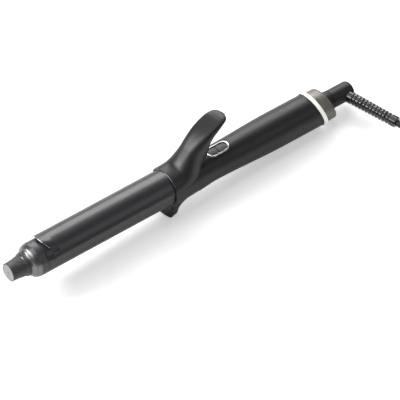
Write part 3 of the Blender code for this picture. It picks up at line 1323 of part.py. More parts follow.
# The cord's route from the strain relief's end to the coil, points chosen by hand. Each has its share of
# the way ahead, of the way to the near side and of the height of the relief's end.
CORD_ROUTE_SHARES = [
    (0.276, 0.459, 0.79),
    (0.441, 0.662, 0.56),
    (0.690, 0.857, 0.45),
    (1.000, 1.000, 0.43),
]


def make_cord(start, heading):
    centre = Vector((start.x + COIL_AHEAD, start.y, 0))
    points, first, into, last, leaving = coil_points(centre)
    tube("cord_coil", points, CORD_RADIUS, BLACK_PVC, None, resolution=1)
    print("coil's least gap to itself, mm:", round(least_gap(points) * 1000, 2))
    begin = start + heading * SEAT_GAP
    lead = begin + heading * CORD_DIAMETER
    end = first + into * SEAT_GAP
    route = [lead]
    for ahead, aside, height in CORD_ROUTE_SHARES:
        place = (start.x + ROUTE_AHEAD * ahead, start.y - ROUTE_ASIDE * aside, start.z * height)
        route.append(Vector(place))
    route.append(end + into * CORD_DIAMETER)
    straight = sum((b - a).length for a, b in zip(route, route[1:]))
    spaced, length = smooth_route(route, round(straight / CORD_POINT_SPACING) + 1)
    spaced = [begin] + spaced + [end]
    length += CORD_DIAMETER * 2
    tube("cord", spaced, CORD_RADIUS, BLACK_PVC, None)
    coiled = sum((b - a).length for a, b in zip(points, points[1:]))
    print("free stretch, mm:", round(length * 1000, 1), "coil, mm:", round(coiled * 1000, 1))

    # Tie round the whole bundle at one place
    inner = COIL_MEAN_RADIUS - COIL_TURNS_A_LAYER * COIL_PITCH / 2 - CORD_RADIUS - SEAT_GAP * 2
    outer = COIL_MEAN_RADIUS + COIL_TURNS_A_LAYER * COIL_PITCH / 2 + CORD_RADIUS + SEAT_GAP * 2
    low = TIE_THICKNESS
    high = coil_height(COIL_LAYERS * COIL_TURNS_A_LAYER) + CORD_RADIUS + SEAT_GAP
    out = Vector((math.cos(TIE_ANGLE), math.sin(TIE_ANGLE), 0))
    turn = (0, 0, TIE_ANGLE)
    middle = centre + out * ((inner + outer) / 2) + Vector((0, 0, (low + high) / 2))
    size = Vector((outer - inner, TIE_WIDTH, high - low))
    around = size + Vector((TIE_THICKNESS * 2, 0, TIE_THICKNESS * 2))
    tie = block("cord_tie", around, middle, SOFT_BLACK, None, turn=turn)
    cut(tie, block("tie_hollow", size + Vector((0, TIE_WIDTH, 0)), middle, None, None, turn=turn))

    # Plug at the far end, lying on the coil
    relief_start = last + leaving * SEAT_GAP
    points, radii = ribbed(relief_start, leaving, PLUG_RELIEF_LENGTH, RELIEF_END_RADIUS, PLUG_RELIEF_RADIUS,
                           RELIEF_GROOVE, PLUG_RELIEF_RIBS, PLUG_EDGE)
    tube("plug_relief", points, PLUG_RELIEF_RADIUS, BLACK_PVC, None, radii=radii)
    rear = relief_start + leaving * (PLUG_RELIEF_LENGTH + SEAT_GAP)
    side = Vector((leaving.y, -leaving.x, 0))
    outline = [(0, PLUG_REAR_WIDTH / 2)]
    outline += [(PLUG_LENGTH * along, PLUG_WIDTH / 2 * across) for along, across in PLUG_OUTLINE_SHARES]
    outline += [(along, -across) for along, across in reversed(outline)]
    rings = []
    for height in (-PLUG_THICKNESS / 2, PLUG_THICKNESS / 2):
        level = rear + Vector((0, 0, height))
        rings.append([level + leaving * along + side * across for along, across in outline])
    plug = lofted("plug_body", rings, BLACK_PVC, None)
    easing = plug.modifiers.new("edge", "BEVEL")
    easing.width = PLUG_EDGE
    easing.segments = 2
    face = rear + leaving * (PLUG_LENGTH + SEAT_GAP)
    for name, across in (("plug_pin_left", 1), ("plug_pin_right", -1)):
        root = face + side * across * PLUG_PIN_PITCH / 2
        rod(name, PLUG_PIN_RADIUS, root, root + leaving * PLUG_PIN_LENGTH, PLUG_BRASS, None)


make_tip()
make_end_cap()
make_barrel()
make_heater()
make_clamp_plate()
make_lever()
make_hinge()
make_handle()
seat_of_switches = make_keys()
make_chassis(seat_of_switches)
make_board()
make_rear()
make_collar()
make_swivel()
relief_end, cord_heading = make_relief()
make_cord(relief_end, cord_heading)
bpy.context.view_layer.update()

print("tilt, degrees:", round(math.degrees(TILT), 3))
print("relief end:", [round(value, 5) for value in relief_end])
print("cord's heading there:", [round(value, 4) for value in cord_heading])
for frame in (HINGE, SWIVEL, bpy.data.objects["front_button_axis"], bpy.data.objects["rear_button_axis"]):
    print(frame.name, [round(value, 5) for value in frame.matrix_world.translation])
print("tong axis:", [round(value, 5) for value in TONG.matrix_world.to_3x3() @ Vector((1, 0, 0))])
print("tong up:", [round(value, 5) for value in TONG.matrix_world.to_3x3() @ Vector((0, 0, 1))])
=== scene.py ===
# %% [markdown]
# # A curling tong, dressed from its own CAD model
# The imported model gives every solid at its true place. This lesson keeps what is right in it, stands finer
# surfaces for what the eye sees, and gives each piece the finish of its real material. Lengths are metres.

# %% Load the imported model
import math

import bmesh
import bpy
import numpy as np
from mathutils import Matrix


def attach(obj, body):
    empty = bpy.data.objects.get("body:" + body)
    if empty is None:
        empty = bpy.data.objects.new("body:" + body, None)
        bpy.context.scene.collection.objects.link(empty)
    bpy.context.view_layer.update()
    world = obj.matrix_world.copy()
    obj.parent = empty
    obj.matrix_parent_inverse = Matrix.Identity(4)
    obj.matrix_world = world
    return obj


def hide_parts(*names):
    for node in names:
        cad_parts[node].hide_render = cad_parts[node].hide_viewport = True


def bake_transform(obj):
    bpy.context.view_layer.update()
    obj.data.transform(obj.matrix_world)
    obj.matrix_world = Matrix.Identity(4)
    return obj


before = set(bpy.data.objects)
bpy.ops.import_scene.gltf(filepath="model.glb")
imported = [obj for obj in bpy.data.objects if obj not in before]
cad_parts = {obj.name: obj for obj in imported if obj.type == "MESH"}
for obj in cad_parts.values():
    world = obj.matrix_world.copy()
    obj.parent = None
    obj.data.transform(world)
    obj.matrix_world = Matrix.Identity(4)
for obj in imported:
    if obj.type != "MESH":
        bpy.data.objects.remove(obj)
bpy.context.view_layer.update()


# %% [markdown]
# ## The camera
# The tong is seen from above and from its tip's side, a long way off, so its lines stay almost parallel. A
# long lens far away gives that. The angles come from the axis and the edges that show; the lens and the
# distance from how little the far end shrinks.

# %% Standing things in the room
def stand(name, data, place=None):
    """A new object in the scene, at a place whose columns are its right, up and back axes and its middle."""
    made = bpy.data.objects.new(name, data)
    bpy.context.collection.objects.link(made)
    if place is not None:
        made.matrix_world = place.T.tolist()
    return made


def facing(azimuth, elevation, distance, target=(0, 0, 0), rise=0.0):
    """The place of a thing aimed at a target: back = (sin a cos e, -cos a cos e, sin e), in degrees."""
    azimuth, elevation = math.radians(azimuth), math.radians(elevation)
    level = math.cos(elevation)
    back = np.array((math.sin(azimuth) * level, -math.cos(azimuth) * level, math.sin(elevation)))
    right = np.array((math.cos(azimuth), math.sin(azimuth), 0.0))
    up = np.cross(back, right)
    place = np.eye(4)
    place[:3] = np.stack((right, up, back, target + back * distance + up * rise), -1)
    return place


# %% Camera
CAMERA_AZIMUTH = -38.877
CAMERA_ELEVATION = 47.096
CAMERA_DISTANCE = 2.1
CAMERA_TARGET = np.array((0.001895, -0.017601, 0.00884))
CAMERA_RAISE = 0.00036
LENS_MM = 210
SENSOR_WIDTH_MM = 36
FARTHEST_SEEN = 20

lens = bpy.data.cameras.new("photo_camera")
lens.lens = LENS_MM
lens.sensor_width = SENSOR_WIDTH_MM
lens.clip_end = FARTHEST_SEEN
camera_place = facing(CAMERA_AZIMUTH, CAMERA_ELEVATION, CAMERA_DISTANCE, CAMERA_TARGET, CAMERA_RAISE)
bpy.context.scene.camera = stand("photo_camera", lens, camera_place)
print("camera at, m:", camera_place[:3, 3].round(3))

# %% [markdown]
# ## Two ways to stand in the room
# The tong lies on its foot and its rear ring, tipped a little. It is easier to think along its own axis, so
# most pieces are worked out there and put in place at the end. The cord lies in the room itself.

# %% The tong's own frame
TILT = math.radians(2.8929818917)
TONG_ORIGIN = np.array((-0.1956806, 0.0, 0.03612173))


def in_place(points):
    """Tong frame to room: turned about Y by the tilt, (x cos + z sin, y, z cos - x sin), then moved."""
    x, y, z = np.moveaxis(np.asarray(points, float), -1, 0)
    cosine, sine = math.cos(TILT), math.sin(TILT)
    return np.stack((x * cosine + z * sine, y, z * cosine - x * sine), -1) + TONG_ORIGIN


def as_is(points):
    """Points that are already in the room's frame."""
    return np.asarray(points, float)


# %% Small sums that come again
def smooth(share):
    """Eases from 0 to 1, flat at both ends: three squares less two cubes of the share, held to 0..1."""
    share = np.clip(share, 0, 1)
    return share * share * (3 - 2 * share)


def rounded_off(near, size):
    """What a rounded edge takes away near its end: size - sqrt(size^2 - (size - near)^2), else nothing."""
    return size * (1 - np.sqrt(1 - (1 - np.clip(near / size, 0, 1)) ** 2))


def unit(vectors):
    """Vectors at length one."""
    return vectors / np.linalg.norm(vectors, axis=-1, keepdims=True)


def full_turn(count):
    """Even angles once round."""
    return np.linspace(0, math.tau, count, endpoint=False)


def about_axis(station, angle, radius):
    """Points about the tong's axis: (station, -radius sin, radius cos)."""
    return np.stack(np.broadcast_arrays(station, -radius * np.sin(angle), radius * np.cos(angle)), -1)


def out_of_loop(loop, turn):
    """Unit vectors out of a closed loop: turn * (y, -x) of each point's chord, turn being -1 if clockwise."""
    chord = np.roll(loop, -1, 0) - np.roll(loop, 1, 0)
    return unit(turn * np.stack((chord[:, 1], -chord[:, 0]), -1))


# %% [markdown]
# ## From a grid of points to a closed mesh
# Every new piece here is a surface of two parameters: one runs along it and one goes round. The grid of
# points becomes quads by index sums alone. Rings are closed with a fan at each end, or the last ring joins
# the first, so no shell is left open, and the sign of the enclosed volume tells which way round the faces
# must be read.

# %% Faces of a grid
def ring_faces(rows, columns, joined=False):
    """Quads between each row and the next; columns close on themselves, and rows too where joined."""
    row, column = np.indices((rows if joined else rows - 1, columns))
    below, beside = (row + 1) % rows, (column + 1) % columns
    near, far = row * columns, below * columns
    return np.stack((near + column, near + beside, far + beside, far + column), -1).reshape(-1, 4)


def capped(grid):
    """A tube of rings whose first and last ring are closed by fans to their middles."""
    rows, columns = grid.shape[:2]
    points = np.concatenate((grid.reshape(-1, 3), grid[[0, -1]].mean(1)))
    column = np.arange(columns)
    beside = (column + 1) % columns
    first = np.stack((beside, column, np.full(columns, rows * columns)), -1)
    last = (rows - 1) * columns + np.stack((column, beside, np.full(columns, columns + 1)), -1)
    return points, [ring_faces(rows, columns), first, last]


def joined(grid):
    """A ring of rings: the last row joins the first, as on a tyre."""
    return grid.reshape(-1, 3), [ring_faces(*grid.shape[:2], joined=True)]


def outward(points, faces):
    """Faces as given, or read backwards where the volume they enclose comes out negative."""
    volume = 0.0
    for group in faces:
        for corner in range(1, group.shape[1] - 1):
            first, second, third = points[group[:, 0]], points[group[:, corner]], points[group[:, corner + 1]]
            volume += np.einsum("ij,ij->", first, np.cross(second, third))
    return [group[:, ::-1] for group in faces] if volume < 0 else faces


# %% A piece from its islands
WELD = 0.000001


def soften(mesh, sharp):
    """Smooth shading, kept sharp where two faces meet at more than an angle in degrees."""
    mesh.shade_smooth()
    mesh.set_sharp_from_angle(angle=math.radians(sharp))


def make_piece(name, islands, finish, body, stands_for=(), place=in_place, sharp=35, weld=False):
    """One mesh object from closed islands of points and faces, riding on a body of the model."""
    points, faces, start = [], [], 0
    for island_points, island_faces in islands:
        shown = place(island_points)
        points.append(shown)
        for group in outward(shown, island_faces):
            faces += (group + start).tolist()
        start += len(shown)
    mesh = bpy.data.meshes.new(name)
    mesh.from_pydata(np.concatenate(points).tolist(), [], faces)
    if weld:
        work = bmesh.new()
        work.from_mesh(mesh)
        bmesh.ops.remove_doubles(work, verts=work.verts, dist=WELD)
        work.to_mesh(mesh)
        work.free()
    soften(mesh, sharp)
    mesh.materials.append(finish)
    made = stand(name, mesh)
    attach(made, body)
    if stands_for:
        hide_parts(*stands_for)
    print(f"{name}: {len(mesh.vertices)} points, {len(mesh.polygons)} faces")
    return made


# %% [markdown]
# ## Outlines with eased corners
# No moulded or turned edge is truly sharp, and the thin highlight along it is what makes it look real. Each
# corner of an outline is swapped for a small arc, and long runs get points of their own, so that the light's
# gradient over them stays even.

# %% Eased and filled outlines
CLOSE_MARKS = 0.000005


def eased(corners, sizes, steps=5, closed=True):
    """Each corner becomes an arc, start(1-t)^2 + 2 corner t(1-t) + end t^2, begun a size before it."""
    corners = np.asarray(corners, float)
    sizes = np.broadcast_to(sizes, corners.shape[:-1])[..., None]
    back = unit(np.roll(corners, 1, -2) - corners) * sizes
    ahead = unit(np.roll(corners, -1, -2) - corners) * sizes
    t = np.linspace(0, 1, steps)[:, None]
    middle = corners[..., None, :]
    arcs = ((middle + back[..., None, :]) * (1 - t) ** 2 + 2 * middle * t * (1 - t)
            + (middle + ahead[..., None, :]) * t ** 2)
    if closed:
        return arcs.reshape(*corners.shape[:-2], -1, corners.shape[-1])
    inner = arcs[..., 1:-1, :, :].reshape(*corners.shape[:-2], -1, corners.shape[-1])
    return np.concatenate((corners[..., :1, :], inner, corners[..., -1:, :]), -2)


def filled(line, spacing, closed=True):
    """The line walked at even marks as well as at its own points, so that no two lie further apart."""
    line = np.concatenate((line, line[:1])) if closed else np.asarray(line, float)
    walked = np.concatenate(([0], np.cumsum(np.linalg.norm(np.diff(line, axis=0), axis=1))))
    marks = np.union1d(walked, np.arange(0, walked[-1], spacing))
    marks = marks[np.concatenate(([True], np.diff(marks) > CLOSE_MARKS))]
    walk = np.stack([np.interp(marks, walked, line[:, i]) for i in range(line.shape[1])], -1)
    return walk[:-1] if closed else walk


# %% Turned pieces
ROUND_COLUMNS = 144
OUTLINE_STEP = 0.0010


def outline(corners, spacing=OUTLINE_STEP, steps=5, closed=True):
    """Corners of (station, radius, easing) become an eased outline that is walked at a spacing."""
    corners = np.array(corners)
    return filled(eased(corners[:, :2], corners[:, 2], steps, closed), spacing, closed)


def turned(profile, slant=0.0):
    """Rings about the axis: (station - slant * height, -radius sin, radius cos), height being radius cos."""
    angle, radius = full_turn(ROUND_COLUMNS), profile[:, 1:2]
    lean = np.broadcast_to(slant, (len(profile),))[:, None]
    return about_axis(profile[:, :1] - lean * radius * np.cos(angle), angle, radius)


def turned_piece(name, corners, finish, node, slot, body="handle", slant=0.0, closed=True, **walk):
    """A round piece from its outline's corners: a tyre, or a solid one where the outline ends at the axis."""
    rings = turned(outline(corners, closed=closed, **walk), slant)
    return make_piece(name, [joined(rings) if closed else capped(rings)], finish, body, (node,))


# %% [markdown]
# ## Finishes
# A finish starts from the real material and how its surface was made. Colours are written as sRGB hex, as a
# colour picker reads them, and one function turns them to linear light. One small function adds a node with
# its settings and its links. Patterns read Object coordinates in metres, so a grain of half a millimetre is
# asked for as just that.

# %% Colour and node helpers
def hex_colour(code):
    """sRGB hex to linear: each channel c is c / 12.92 below 0.04045, else ((c + 0.055) / 1.055) ^ 2.4."""
    channels = [int(code[i:i + 2], 16) / 255 for i in (1, 3, 5)]
    linear = [c / 12.92 if c <= 0.04045 else ((c + 0.055) / 1.055) ** 2.4 for c in channels]
    return (*linear, 1.0)


def add(tree, kind, settings=None, inputs=None):
    """Adds a node, sets its settings, and gives each input a value, or a link where a socket is given."""
    node = tree.nodes.new(kind)
    for name, value in (settings or {}).items():
        setattr(node, name, value)
    for name, value in (inputs or {}).items():
        if isinstance(value, bpy.types.NodeSocket):
            tree.links.new(value, node.inputs[name])
        else:
            node.inputs[name].default_value = value
    return node


def start_finish(name, **constants):
    """An empty finish: its Principled shader, constants on its own sockets, and Object coordinates."""
    made = bpy.data.materials.new(name)
    made.use_nodes = True
    tree = made.node_tree
    shader = tree.nodes["Principled BSDF"]
    for socket, value in constants.items():
        shader.inputs[socket.replace("_", " ")].default_value = value
    coordinates = add(tree, "ShaderNodeTexCoord").outputs["Object"]
    return made, tree, shader, coordinates


GRAIN_DETAIL = 3.0
GRAIN_ROUGHNESS = 0.6
CLOUD_TO_GRAIN = 16
CLOUD_DETAIL = 2.0


def grained(name, dark, light, grain, roughness, relief, spread=0.05, contrast=(0.35, 0.65), **constants):
    """A grain of a real size: shade and height follow one noise, and the gloss follows a wider one."""
    made, tree, shader, coordinates = start_finish(name, **constants)
    noise = add(tree, "ShaderNodeTexNoise", None, {"Vector": coordinates, "Scale": 0.5 / grain,
                                                   "Detail": GRAIN_DETAIL, "Roughness": GRAIN_ROUGHNESS})
    shade = add(tree, "ShaderNodeMapRange", {"interpolation_type": "SMOOTHSTEP"},
                {"Value": noise.outputs["Fac"], "From Min": contrast[0], "From Max": contrast[1]})
    colour = add(tree, "ShaderNodeMix", {"data_type": "RGBA"},
                 {0: shade.outputs["Result"], 6: hex_colour(dark), 7: hex_colour(light)})
    tree.links.new(colour.outputs[2], shader.inputs["Base Color"])
    cloud = add(tree, "ShaderNodeTexNoise", None,
                {"Vector": coordinates, "Scale": 0.5 / (grain * CLOUD_TO_GRAIN), "Detail": CLOUD_DETAIL})
    gloss = add(tree, "ShaderNodeMapRange", None,
                {"Value": cloud.outputs["Fac"], "To Min": roughness - spread, "To Max": roughness + spread})
    tree.links.new(gloss.outputs["Result"], shader.inputs["Roughness"])
    bump = add(tree, "ShaderNodeBump", None, {"Height": noise.outputs["Fac"], "Distance": relief})
    tree.links.new(bump.outputs["Normal"], shader.inputs["Normal"])
    return made


# %% [markdown]
# ### What the tong is made of
# The handle and lever are ABS with a soft-touch lacquer: very dark, broad dull highlights and no glint. The
# barrel and its clamp are aluminium with a baked ceramic coating, darker and slicker, with fine mica in it.
# The cool tip is a heat-proof polyester with a spark-eroded grain. Grains finer than a pixel are drawn about
# half a millimetre to a millimetre wide, so that they show at all.

# %% Finishes of the outside
SOFT_TOUCH = grained("soft_touch_lacquer_on_abs", "#1f1f20", "#252526", 0.0006, 0.40, 0.00001, IOR=1.45)
COATING = grained("baked_ceramic_coating", "#242427", "#2f2f32", 0.0005, 0.32, 0.000004, IOR=1.60)
BARE_EDGE = grained("sheared_aluminium_edge", "#b4b4b6", "#d0d0d2", 0.0006, 0.25, 0.000004, Metallic=1.0)
# Painted highlight: a lighter, half metallic grey laid on the tip's step and the lever's front rim where
# light catches them.
PAINTED_EDGE_HIGHLIGHT = grained("painted_edge_highlight", "#58585a", "#6c6c6e", 0.0006, 0.22, 0.000004, Metallic=0.6)
TIP_FINISH = grained("heat_proof_polyester", "#2c2c2c", "#464646", 0.0007, 0.46, 0.00003, IOR=1.57,
                     contrast=(0.42, 0.62))
DISC_FINISH = grained("satin_silver_paint", "#8c8c8c", "#a2a2a2", 0.0008, 0.45, 0.00001, IOR=1.50,
                      Metallic=0.3)
SHOULDER_FINISH = grained("blasted_nickel_plate", "#6f6f6f", "#878787", 0.0005, 0.36, 0.00001, Metallic=1.0)
BAND_FINISH = grained("blasted_graphite_coating", "#4a4a4c", "#5c5c5f", 0.0008, 0.40, 0.000006, Metallic=0.75,
                      contrast=(0.25, 0.75))
CHROME = grained("satin_chrome_plate", "#eeeeee", "#f8f8f8", 0.0020, 0.30, 0.0, spread=0.03, Metallic=1.0)
KEY_FINISH = grained("grey_moulded_abs", "#3c3c3e", "#525255", 0.0006, 0.58, 0.00001, IOR=1.53)
# The opal ring glows faintly white from within, which keeps it white on its shaded side too.
RING_FINISH = grained("opal_polycarbonate", "#f0f0ee", "#f8f8f7", 0.0020, 0.30, 0.0, IOR=1.58,
                      Emission_Color=(1, 1, 1, 1), Emission_Strength=0.35)
CAP_FINISH = grained("taupe_metallic_paint", "#76726b", "#8a867f", 0.0006, 0.40, 0.000004, IOR=1.50,
                     contrast=(0.40, 0.62), Metallic=0.45)
NECK_FINISH = grained("black_satin_abs", "#111113", "#171719", 0.0006, 0.50, 0.000008, IOR=1.53)
PVC_FINISH = grained("black_flexible_pvc", "#0e0e0f", "#171718", 0.0010, 0.27, 0.00001, IOR=1.53)
SLEEVE_FINISH = grained("glossy_moulded_pvc", "#0d0d0e", "#151516", 0.0010, 0.16, 0.000003, IOR=1.53,
                        spread=0.03, Coat_Weight=1.0, Coat_Roughness=0.10)
RUBBER_FINISH = grained("black_silicone_rubber", "#161616", "#1f1f1f", 0.0006, 0.72, 0.00003, IOR=1.41)
STRAP_FINISH = grained("woven_strap_nylon", "#121213", "#26262a", 0.0005, 0.80, 0.00008, IOR=1.53,
                       contrast=(0.40, 0.60))

# %% [markdown]
# ### What works inside
# The inner pieces keep their CAD shape. They still get true finishes, because the part can be taken apart:
# fired alumina, drawn aluminium, zinc-plated steel, beryllium copper, a green board and insulated wires.

# %% Finishes of the inside
CERAMIC_FINISH = grained("fired_alumina", "#d8d4cb", "#e6e3db", 0.0010, 0.55, 0.00002, IOR=1.77)
ALUMINIUM_FINISH = grained("extruded_aluminium", "#a9a9ab", "#c2c2c4", 0.0012, 0.38, 0.00001, Metallic=1.0)
STEEL_FINISH = grained("zinc_plated_steel", "#9b9ca0", "#b9babd", 0.0010, 0.32, 0.00001, Metallic=1.0)
COPPER_FINISH = grained("spring_copper", "#b87349", "#cf8a5c", 0.0010, 0.30, 0.00001, Metallic=1.0)
CHASSIS_FINISH = grained("glass_filled_nylon", "#333335", "#454548", 0.0006, 0.55, 0.00003, IOR=1.53)
BOARD_FINISH = grained("green_solder_mask", "#12532a", "#1c6a37", 0.0020, 0.35, 0.00002, IOR=1.55)
WIRE_RED_FINISH = grained("red_silicone_sleeve", "#8f1c14", "#a8271c", 0.0010, 0.45, 0.00001, IOR=1.43)
WIRE_BLUE_FINISH = grained("blue_silicone_sleeve", "#1c3a86", "#27499c", 0.0010, 0.45, 0.00001, IOR=1.43)
NICKEL_FINISH = grained("nickel_plated_brass", "#b3ada0", "#c9c4b8", 0.0010, 0.24, 0.00001, Metallic=1.0)

KEPT_NODES = {
    CERAMIC_FINISH: ["heater_core", "thermistor", "barrel_bush"],
    ALUMINIUM_FINISH: ["heat_spreader_upper", "heat_spreader_lower"],
    STEEL_FINISH: ["tip_screw", "thermal_fuse", "clamp_screw_front", "clamp_screw_rear", "lever_pin",
                   "torsion_spring", "board_screw_front", "board_screw_rear", "cap_screw_left",
                   "cap_screw_right", "swivel_clip"],
    COPPER_FINISH: ["slip_ring_live", "slip_ring_neutral", "brush_live", "brush_neutral"],
    CHASSIS_FINISH: ["inner_chassis", "lever_spacer", "board_triac", "board_choke", "control_chip",
                     "board_capacitor", "front_switch", "rear_switch"],
    BOARD_FINISH: ["control_board", "switch_board"],
    WIRE_RED_FINISH: ["heater_lead_live"],
    WIRE_BLUE_FINISH: ["heater_lead_neutral"],
    NICKEL_FINISH: ["plug_pin_left", "plug_pin_right"],
}
for finish, nodes in KEPT_NODES.items():
    for node in nodes:
        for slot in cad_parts[node].material_slots:
            slot.material = finish
print("nodes kept:", sum(len(nodes) for nodes in KEPT_NODES.values()))

# %% [markdown]
# ## The cord
# Little of the lead shows in the photograph, so its length comes from what salon tongs have: two and a half
# metres of 6.4 mm flex. It goes down to the floor in one easy curve and is wound away in a flat round coil,
# two or three turns wide and four layers high, with a strap round it and the plug on top. The route is the
# solid's own. A tube is swept along it: at each point a side vector lies level, and the circle stands square
# to the path.

# %% The cord's places
CORD_RADIUS = 0.0032
SEAT_GAP = 0.0003
NECK_RADIUS = 0.0091
RELIEF_STATION = 0.38329
RELIEF_LENGTH = 0.0510
RELIEF_LEAN = math.radians(17)
RELIEF_DROOP = math.radians(4.5)
COIL_LAYERS = 4
COIL_TURNS_A_LAYER = 2.5125
COIL_TURNS = COIL_LAYERS * COIL_TURNS_A_LAYER
COIL_POINTS_A_TURN = 24
COIL_MEAN_RADIUS = 0.0375
COIL_PITCH = 0.0070
COIL_AHEAD = 0.0730
COIL_START = math.radians(-120)
TAIL_RADIUS = 0.0300
TAIL_TURN = math.radians(100)
TAIL_RISE_TURN = math.radians(60)
TIE_THICKNESS = 0.0010
PLUG_THICKNESS = 0.0137

relief_way = np.array((math.sin(RELIEF_LEAN) * math.cos(RELIEF_DROOP),
                       -math.cos(RELIEF_LEAN) * math.cos(RELIEF_DROOP), -math.sin(RELIEF_DROOP)))
relief_start = np.array((RELIEF_STATION, 0, 0)) + relief_way * NECK_RADIUS
cord_exit = in_place(relief_start + relief_way * RELIEF_LENGTH)
cord_heading = in_place(relief_way) - in_place(np.zeros(3))
print("cord leaves at, mm:", (cord_exit * 1000).round(2))


# %% The coil's spiral
def round_points(angle, radius, height):
    """Points on level circles: (radius cos, radius sin, height)."""
    return np.stack(np.broadcast_arrays(radius * np.cos(angle), radius * np.sin(angle), height), -1)


def coil_radius(turn):
    """In by one pitch a turn through a layer, and out again through the next: a zigzag of the turn."""
    span = COIL_TURNS_A_LAYER * COIL_PITCH
    phase = (turn / COIL_TURNS_A_LAYER) % 2
    return COIL_MEAN_RADIUS + span / 2 - span * np.where(phase <= 1, phase, 2 - phase)


def coil_height(turn):
    """Level in a layer, with one smooth climb of a pitch in the half turn at its end."""
    climbs = [smooth((turn - layer * COIL_TURNS_A_LAYER) * 2 + 0.5) for layer in range(1, COIL_LAYERS)]
    return TIE_THICKNESS + SEAT_GAP + CORD_RADIUS + COIL_PITCH * sum(climbs)


coil_centre = np.array((cord_exit[0] + COIL_AHEAD, cord_exit[1], 0))
coil_steps = round(COIL_TURNS * COIL_POINTS_A_TURN)
turn = COIL_TURNS * np.arange(coil_steps + 1) / coil_steps
coil = coil_centre + round_points(COIL_START + turn * math.tau, coil_radius(turn), coil_height(turn))
into = (coil[0] - coil[1]) * (1, 1, 0) / np.linalg.norm(coil[0] - coil[1])
coil_first = coil[0] + into * CORD_RADIUS * 2

# The tail turns in over the coil's top and rises to the middle of the plug
coil_top = coil_height(COIL_TURNS)
plug_height = coil_top + CORD_RADIUS + SEAT_GAP + PLUG_THICKNESS / 2
end_angle = COIL_START + COIL_TURNS * math.tau
tail_middle = coil_centre + round_points(end_angle, coil_radius(COIL_TURNS) - TAIL_RADIUS, 0)
tail_count = round(COIL_POINTS_A_TURN * TAIL_TURN / math.tau)
tail_angle = end_angle + TAIL_TURN * np.arange(1, tail_count + 1) / tail_count
tail = tail_middle + round_points(tail_angle, TAIL_RADIUS, coil_top)
rise_start, rise_points = COIL_POINTS_A_TURN // 6, COIL_POINTS_A_TURN // 4
rise_total = rise_start + rise_points * TAIL_RISE_TURN / math.radians(90)
wound = np.concatenate((coil, tail))
rising = smooth((np.arange(rise_start + tail_count) + 1) / rise_total)
wound[-rise_start - tail_count:, 2] = coil_top + (plug_height - coil_top) * rising
plug_way = np.array((-math.sin(end_angle + TAIL_TURN), math.cos(end_angle + TAIL_TURN), 0))
coil_last = wound[-1] + plug_way * CORD_RADIUS * 2

# %% The free stretch, and one smooth path for the whole lead
ROUTE_AHEAD = 0.0290
ROUTE_ASIDE = 0.0370
CORD_ROUTE_SHARES = np.array(((0.276, 0.459, 0.79), (0.441, 0.662, 0.56), (0.690, 0.857, 0.45),
                              (1.0, 1.0, 0.43)))
route = cord_exit * (1, 1, 0) + CORD_ROUTE_SHARES * (ROUTE_AHEAD, -ROUTE_ASIDE, cord_exit[2])
cord_start = cord_exit + cord_heading * SEAT_GAP
free_end = coil_first + into * (SEAT_GAP + CORD_RADIUS * 2)
chosen = np.concatenate(([cord_start, cord_start + cord_heading * CORD_RADIUS * 2], route,
                         [free_end, coil_first], wound, [coil_last]))


def flowing_path(points, spacing):
    """A curve through points: each span a cubic whose slopes are its neighbours' chords, walked evenly."""
    ends = np.concatenate((points[:1] * 2 - points[1:2], points, points[-1:] * 2 - points[-2:-1]))
    before, near, far, after = (ends[i:len(ends) - 3 + i, None, :] for i in range(4))
    t = (np.arange(8) / 8)[:, None]
    fine = 0.5 * (2 * near + (far - before) * t + (2 * before - 5 * near + 4 * far - after) * t ** 2
                  + (3 * near - before - 3 * far + after) * t ** 3)
    fine = np.concatenate((fine.reshape(-1, 3), points[-1:]))
    walked = np.concatenate(([0], np.cumsum(np.linalg.norm(np.diff(fine, axis=0), axis=1))))
    marks = np.linspace(0, walked[-1], round(walked[-1] / spacing) + 1)
    return np.stack([np.interp(marks, walked, fine[:, i]) for i in range(3)], -1), walked[-1]


cord_path, cord_length = flowing_path(chosen, 0.0035)
print("cord length, m:", round(cord_length, 3), "in", len(cord_path), "points")


# %% A tube along a path
def swept(path, radii, columns=20, flatten=1.0):
    """Circles square to a path: point = path + radius (cos side + sin up), side = way x Z, made level."""
    way = unit(np.gradient(path, axis=0))
    side = unit(np.cross(way, (0, 0, 1)))
    up = np.cross(side, way)
    angle = full_turn(columns)[None, :, None]
    radii = np.broadcast_to(radii, len(path))[:, None, None]
    return path[:, None] + radii * (np.cos(angle) * side[:, None] + np.sin(angle) * flatten * up[:, None])


cord_lead = make_piece("mains_lead", [capped(swept(cord_path, CORD_RADIUS))], PVC_FINISH, "handle",
                       ("cord", "cord_coil"), as_is)

# %% [markdown]
# ### Strain reliefs
# Both ends of the lead have a ribbed sleeve, soft PVC with square grooves cut round it so that it bends in an
# even arc. A sleeve is the same tube with a radius that steps in and out along it, tapering a little.

# %% Ribbed sleeves
RELIEF_RADIUS = 0.0060
RELIEF_END_RADIUS = 0.0054
RELIEF_GROOVE = 0.0011
RELIEF_RIBS = 12
RELIEF_COLLAR = 0.0055
PLUG_RELIEF_LENGTH = 0.0200
PLUG_RELIEF_RADIUS = 0.0052
PLUG_RELIEF_RIBS = 5
PLUG_EDGE = 0.0016
RIB_EASE = 0.00022
RIB_STEP = 0.0012
GROOVE_EDGE_SHARES = np.array((0.26, 0.26, 0.74, 0.74))
GROOVE_DEPTHS = RELIEF_GROOVE * np.array((0, 1, 1, 0))
MOUTH_SHARE = 0.7
ROOT_DEPTH = NECK_RADIUS * 0.4


def straight_tube(outline, start, way, columns=48):
    """Rings on a straight line: start + way station + radius (cos side + sin up), side lying level."""
    side = unit(np.cross(way, (0, 0, 1)))
    angle = full_turn(columns)[:, None]
    spokes = np.cos(angle) * side + np.sin(angle) * np.cross(side, way)
    return start + way * outline[:, 0, None, None] + spokes * outline[:, 1, None, None]


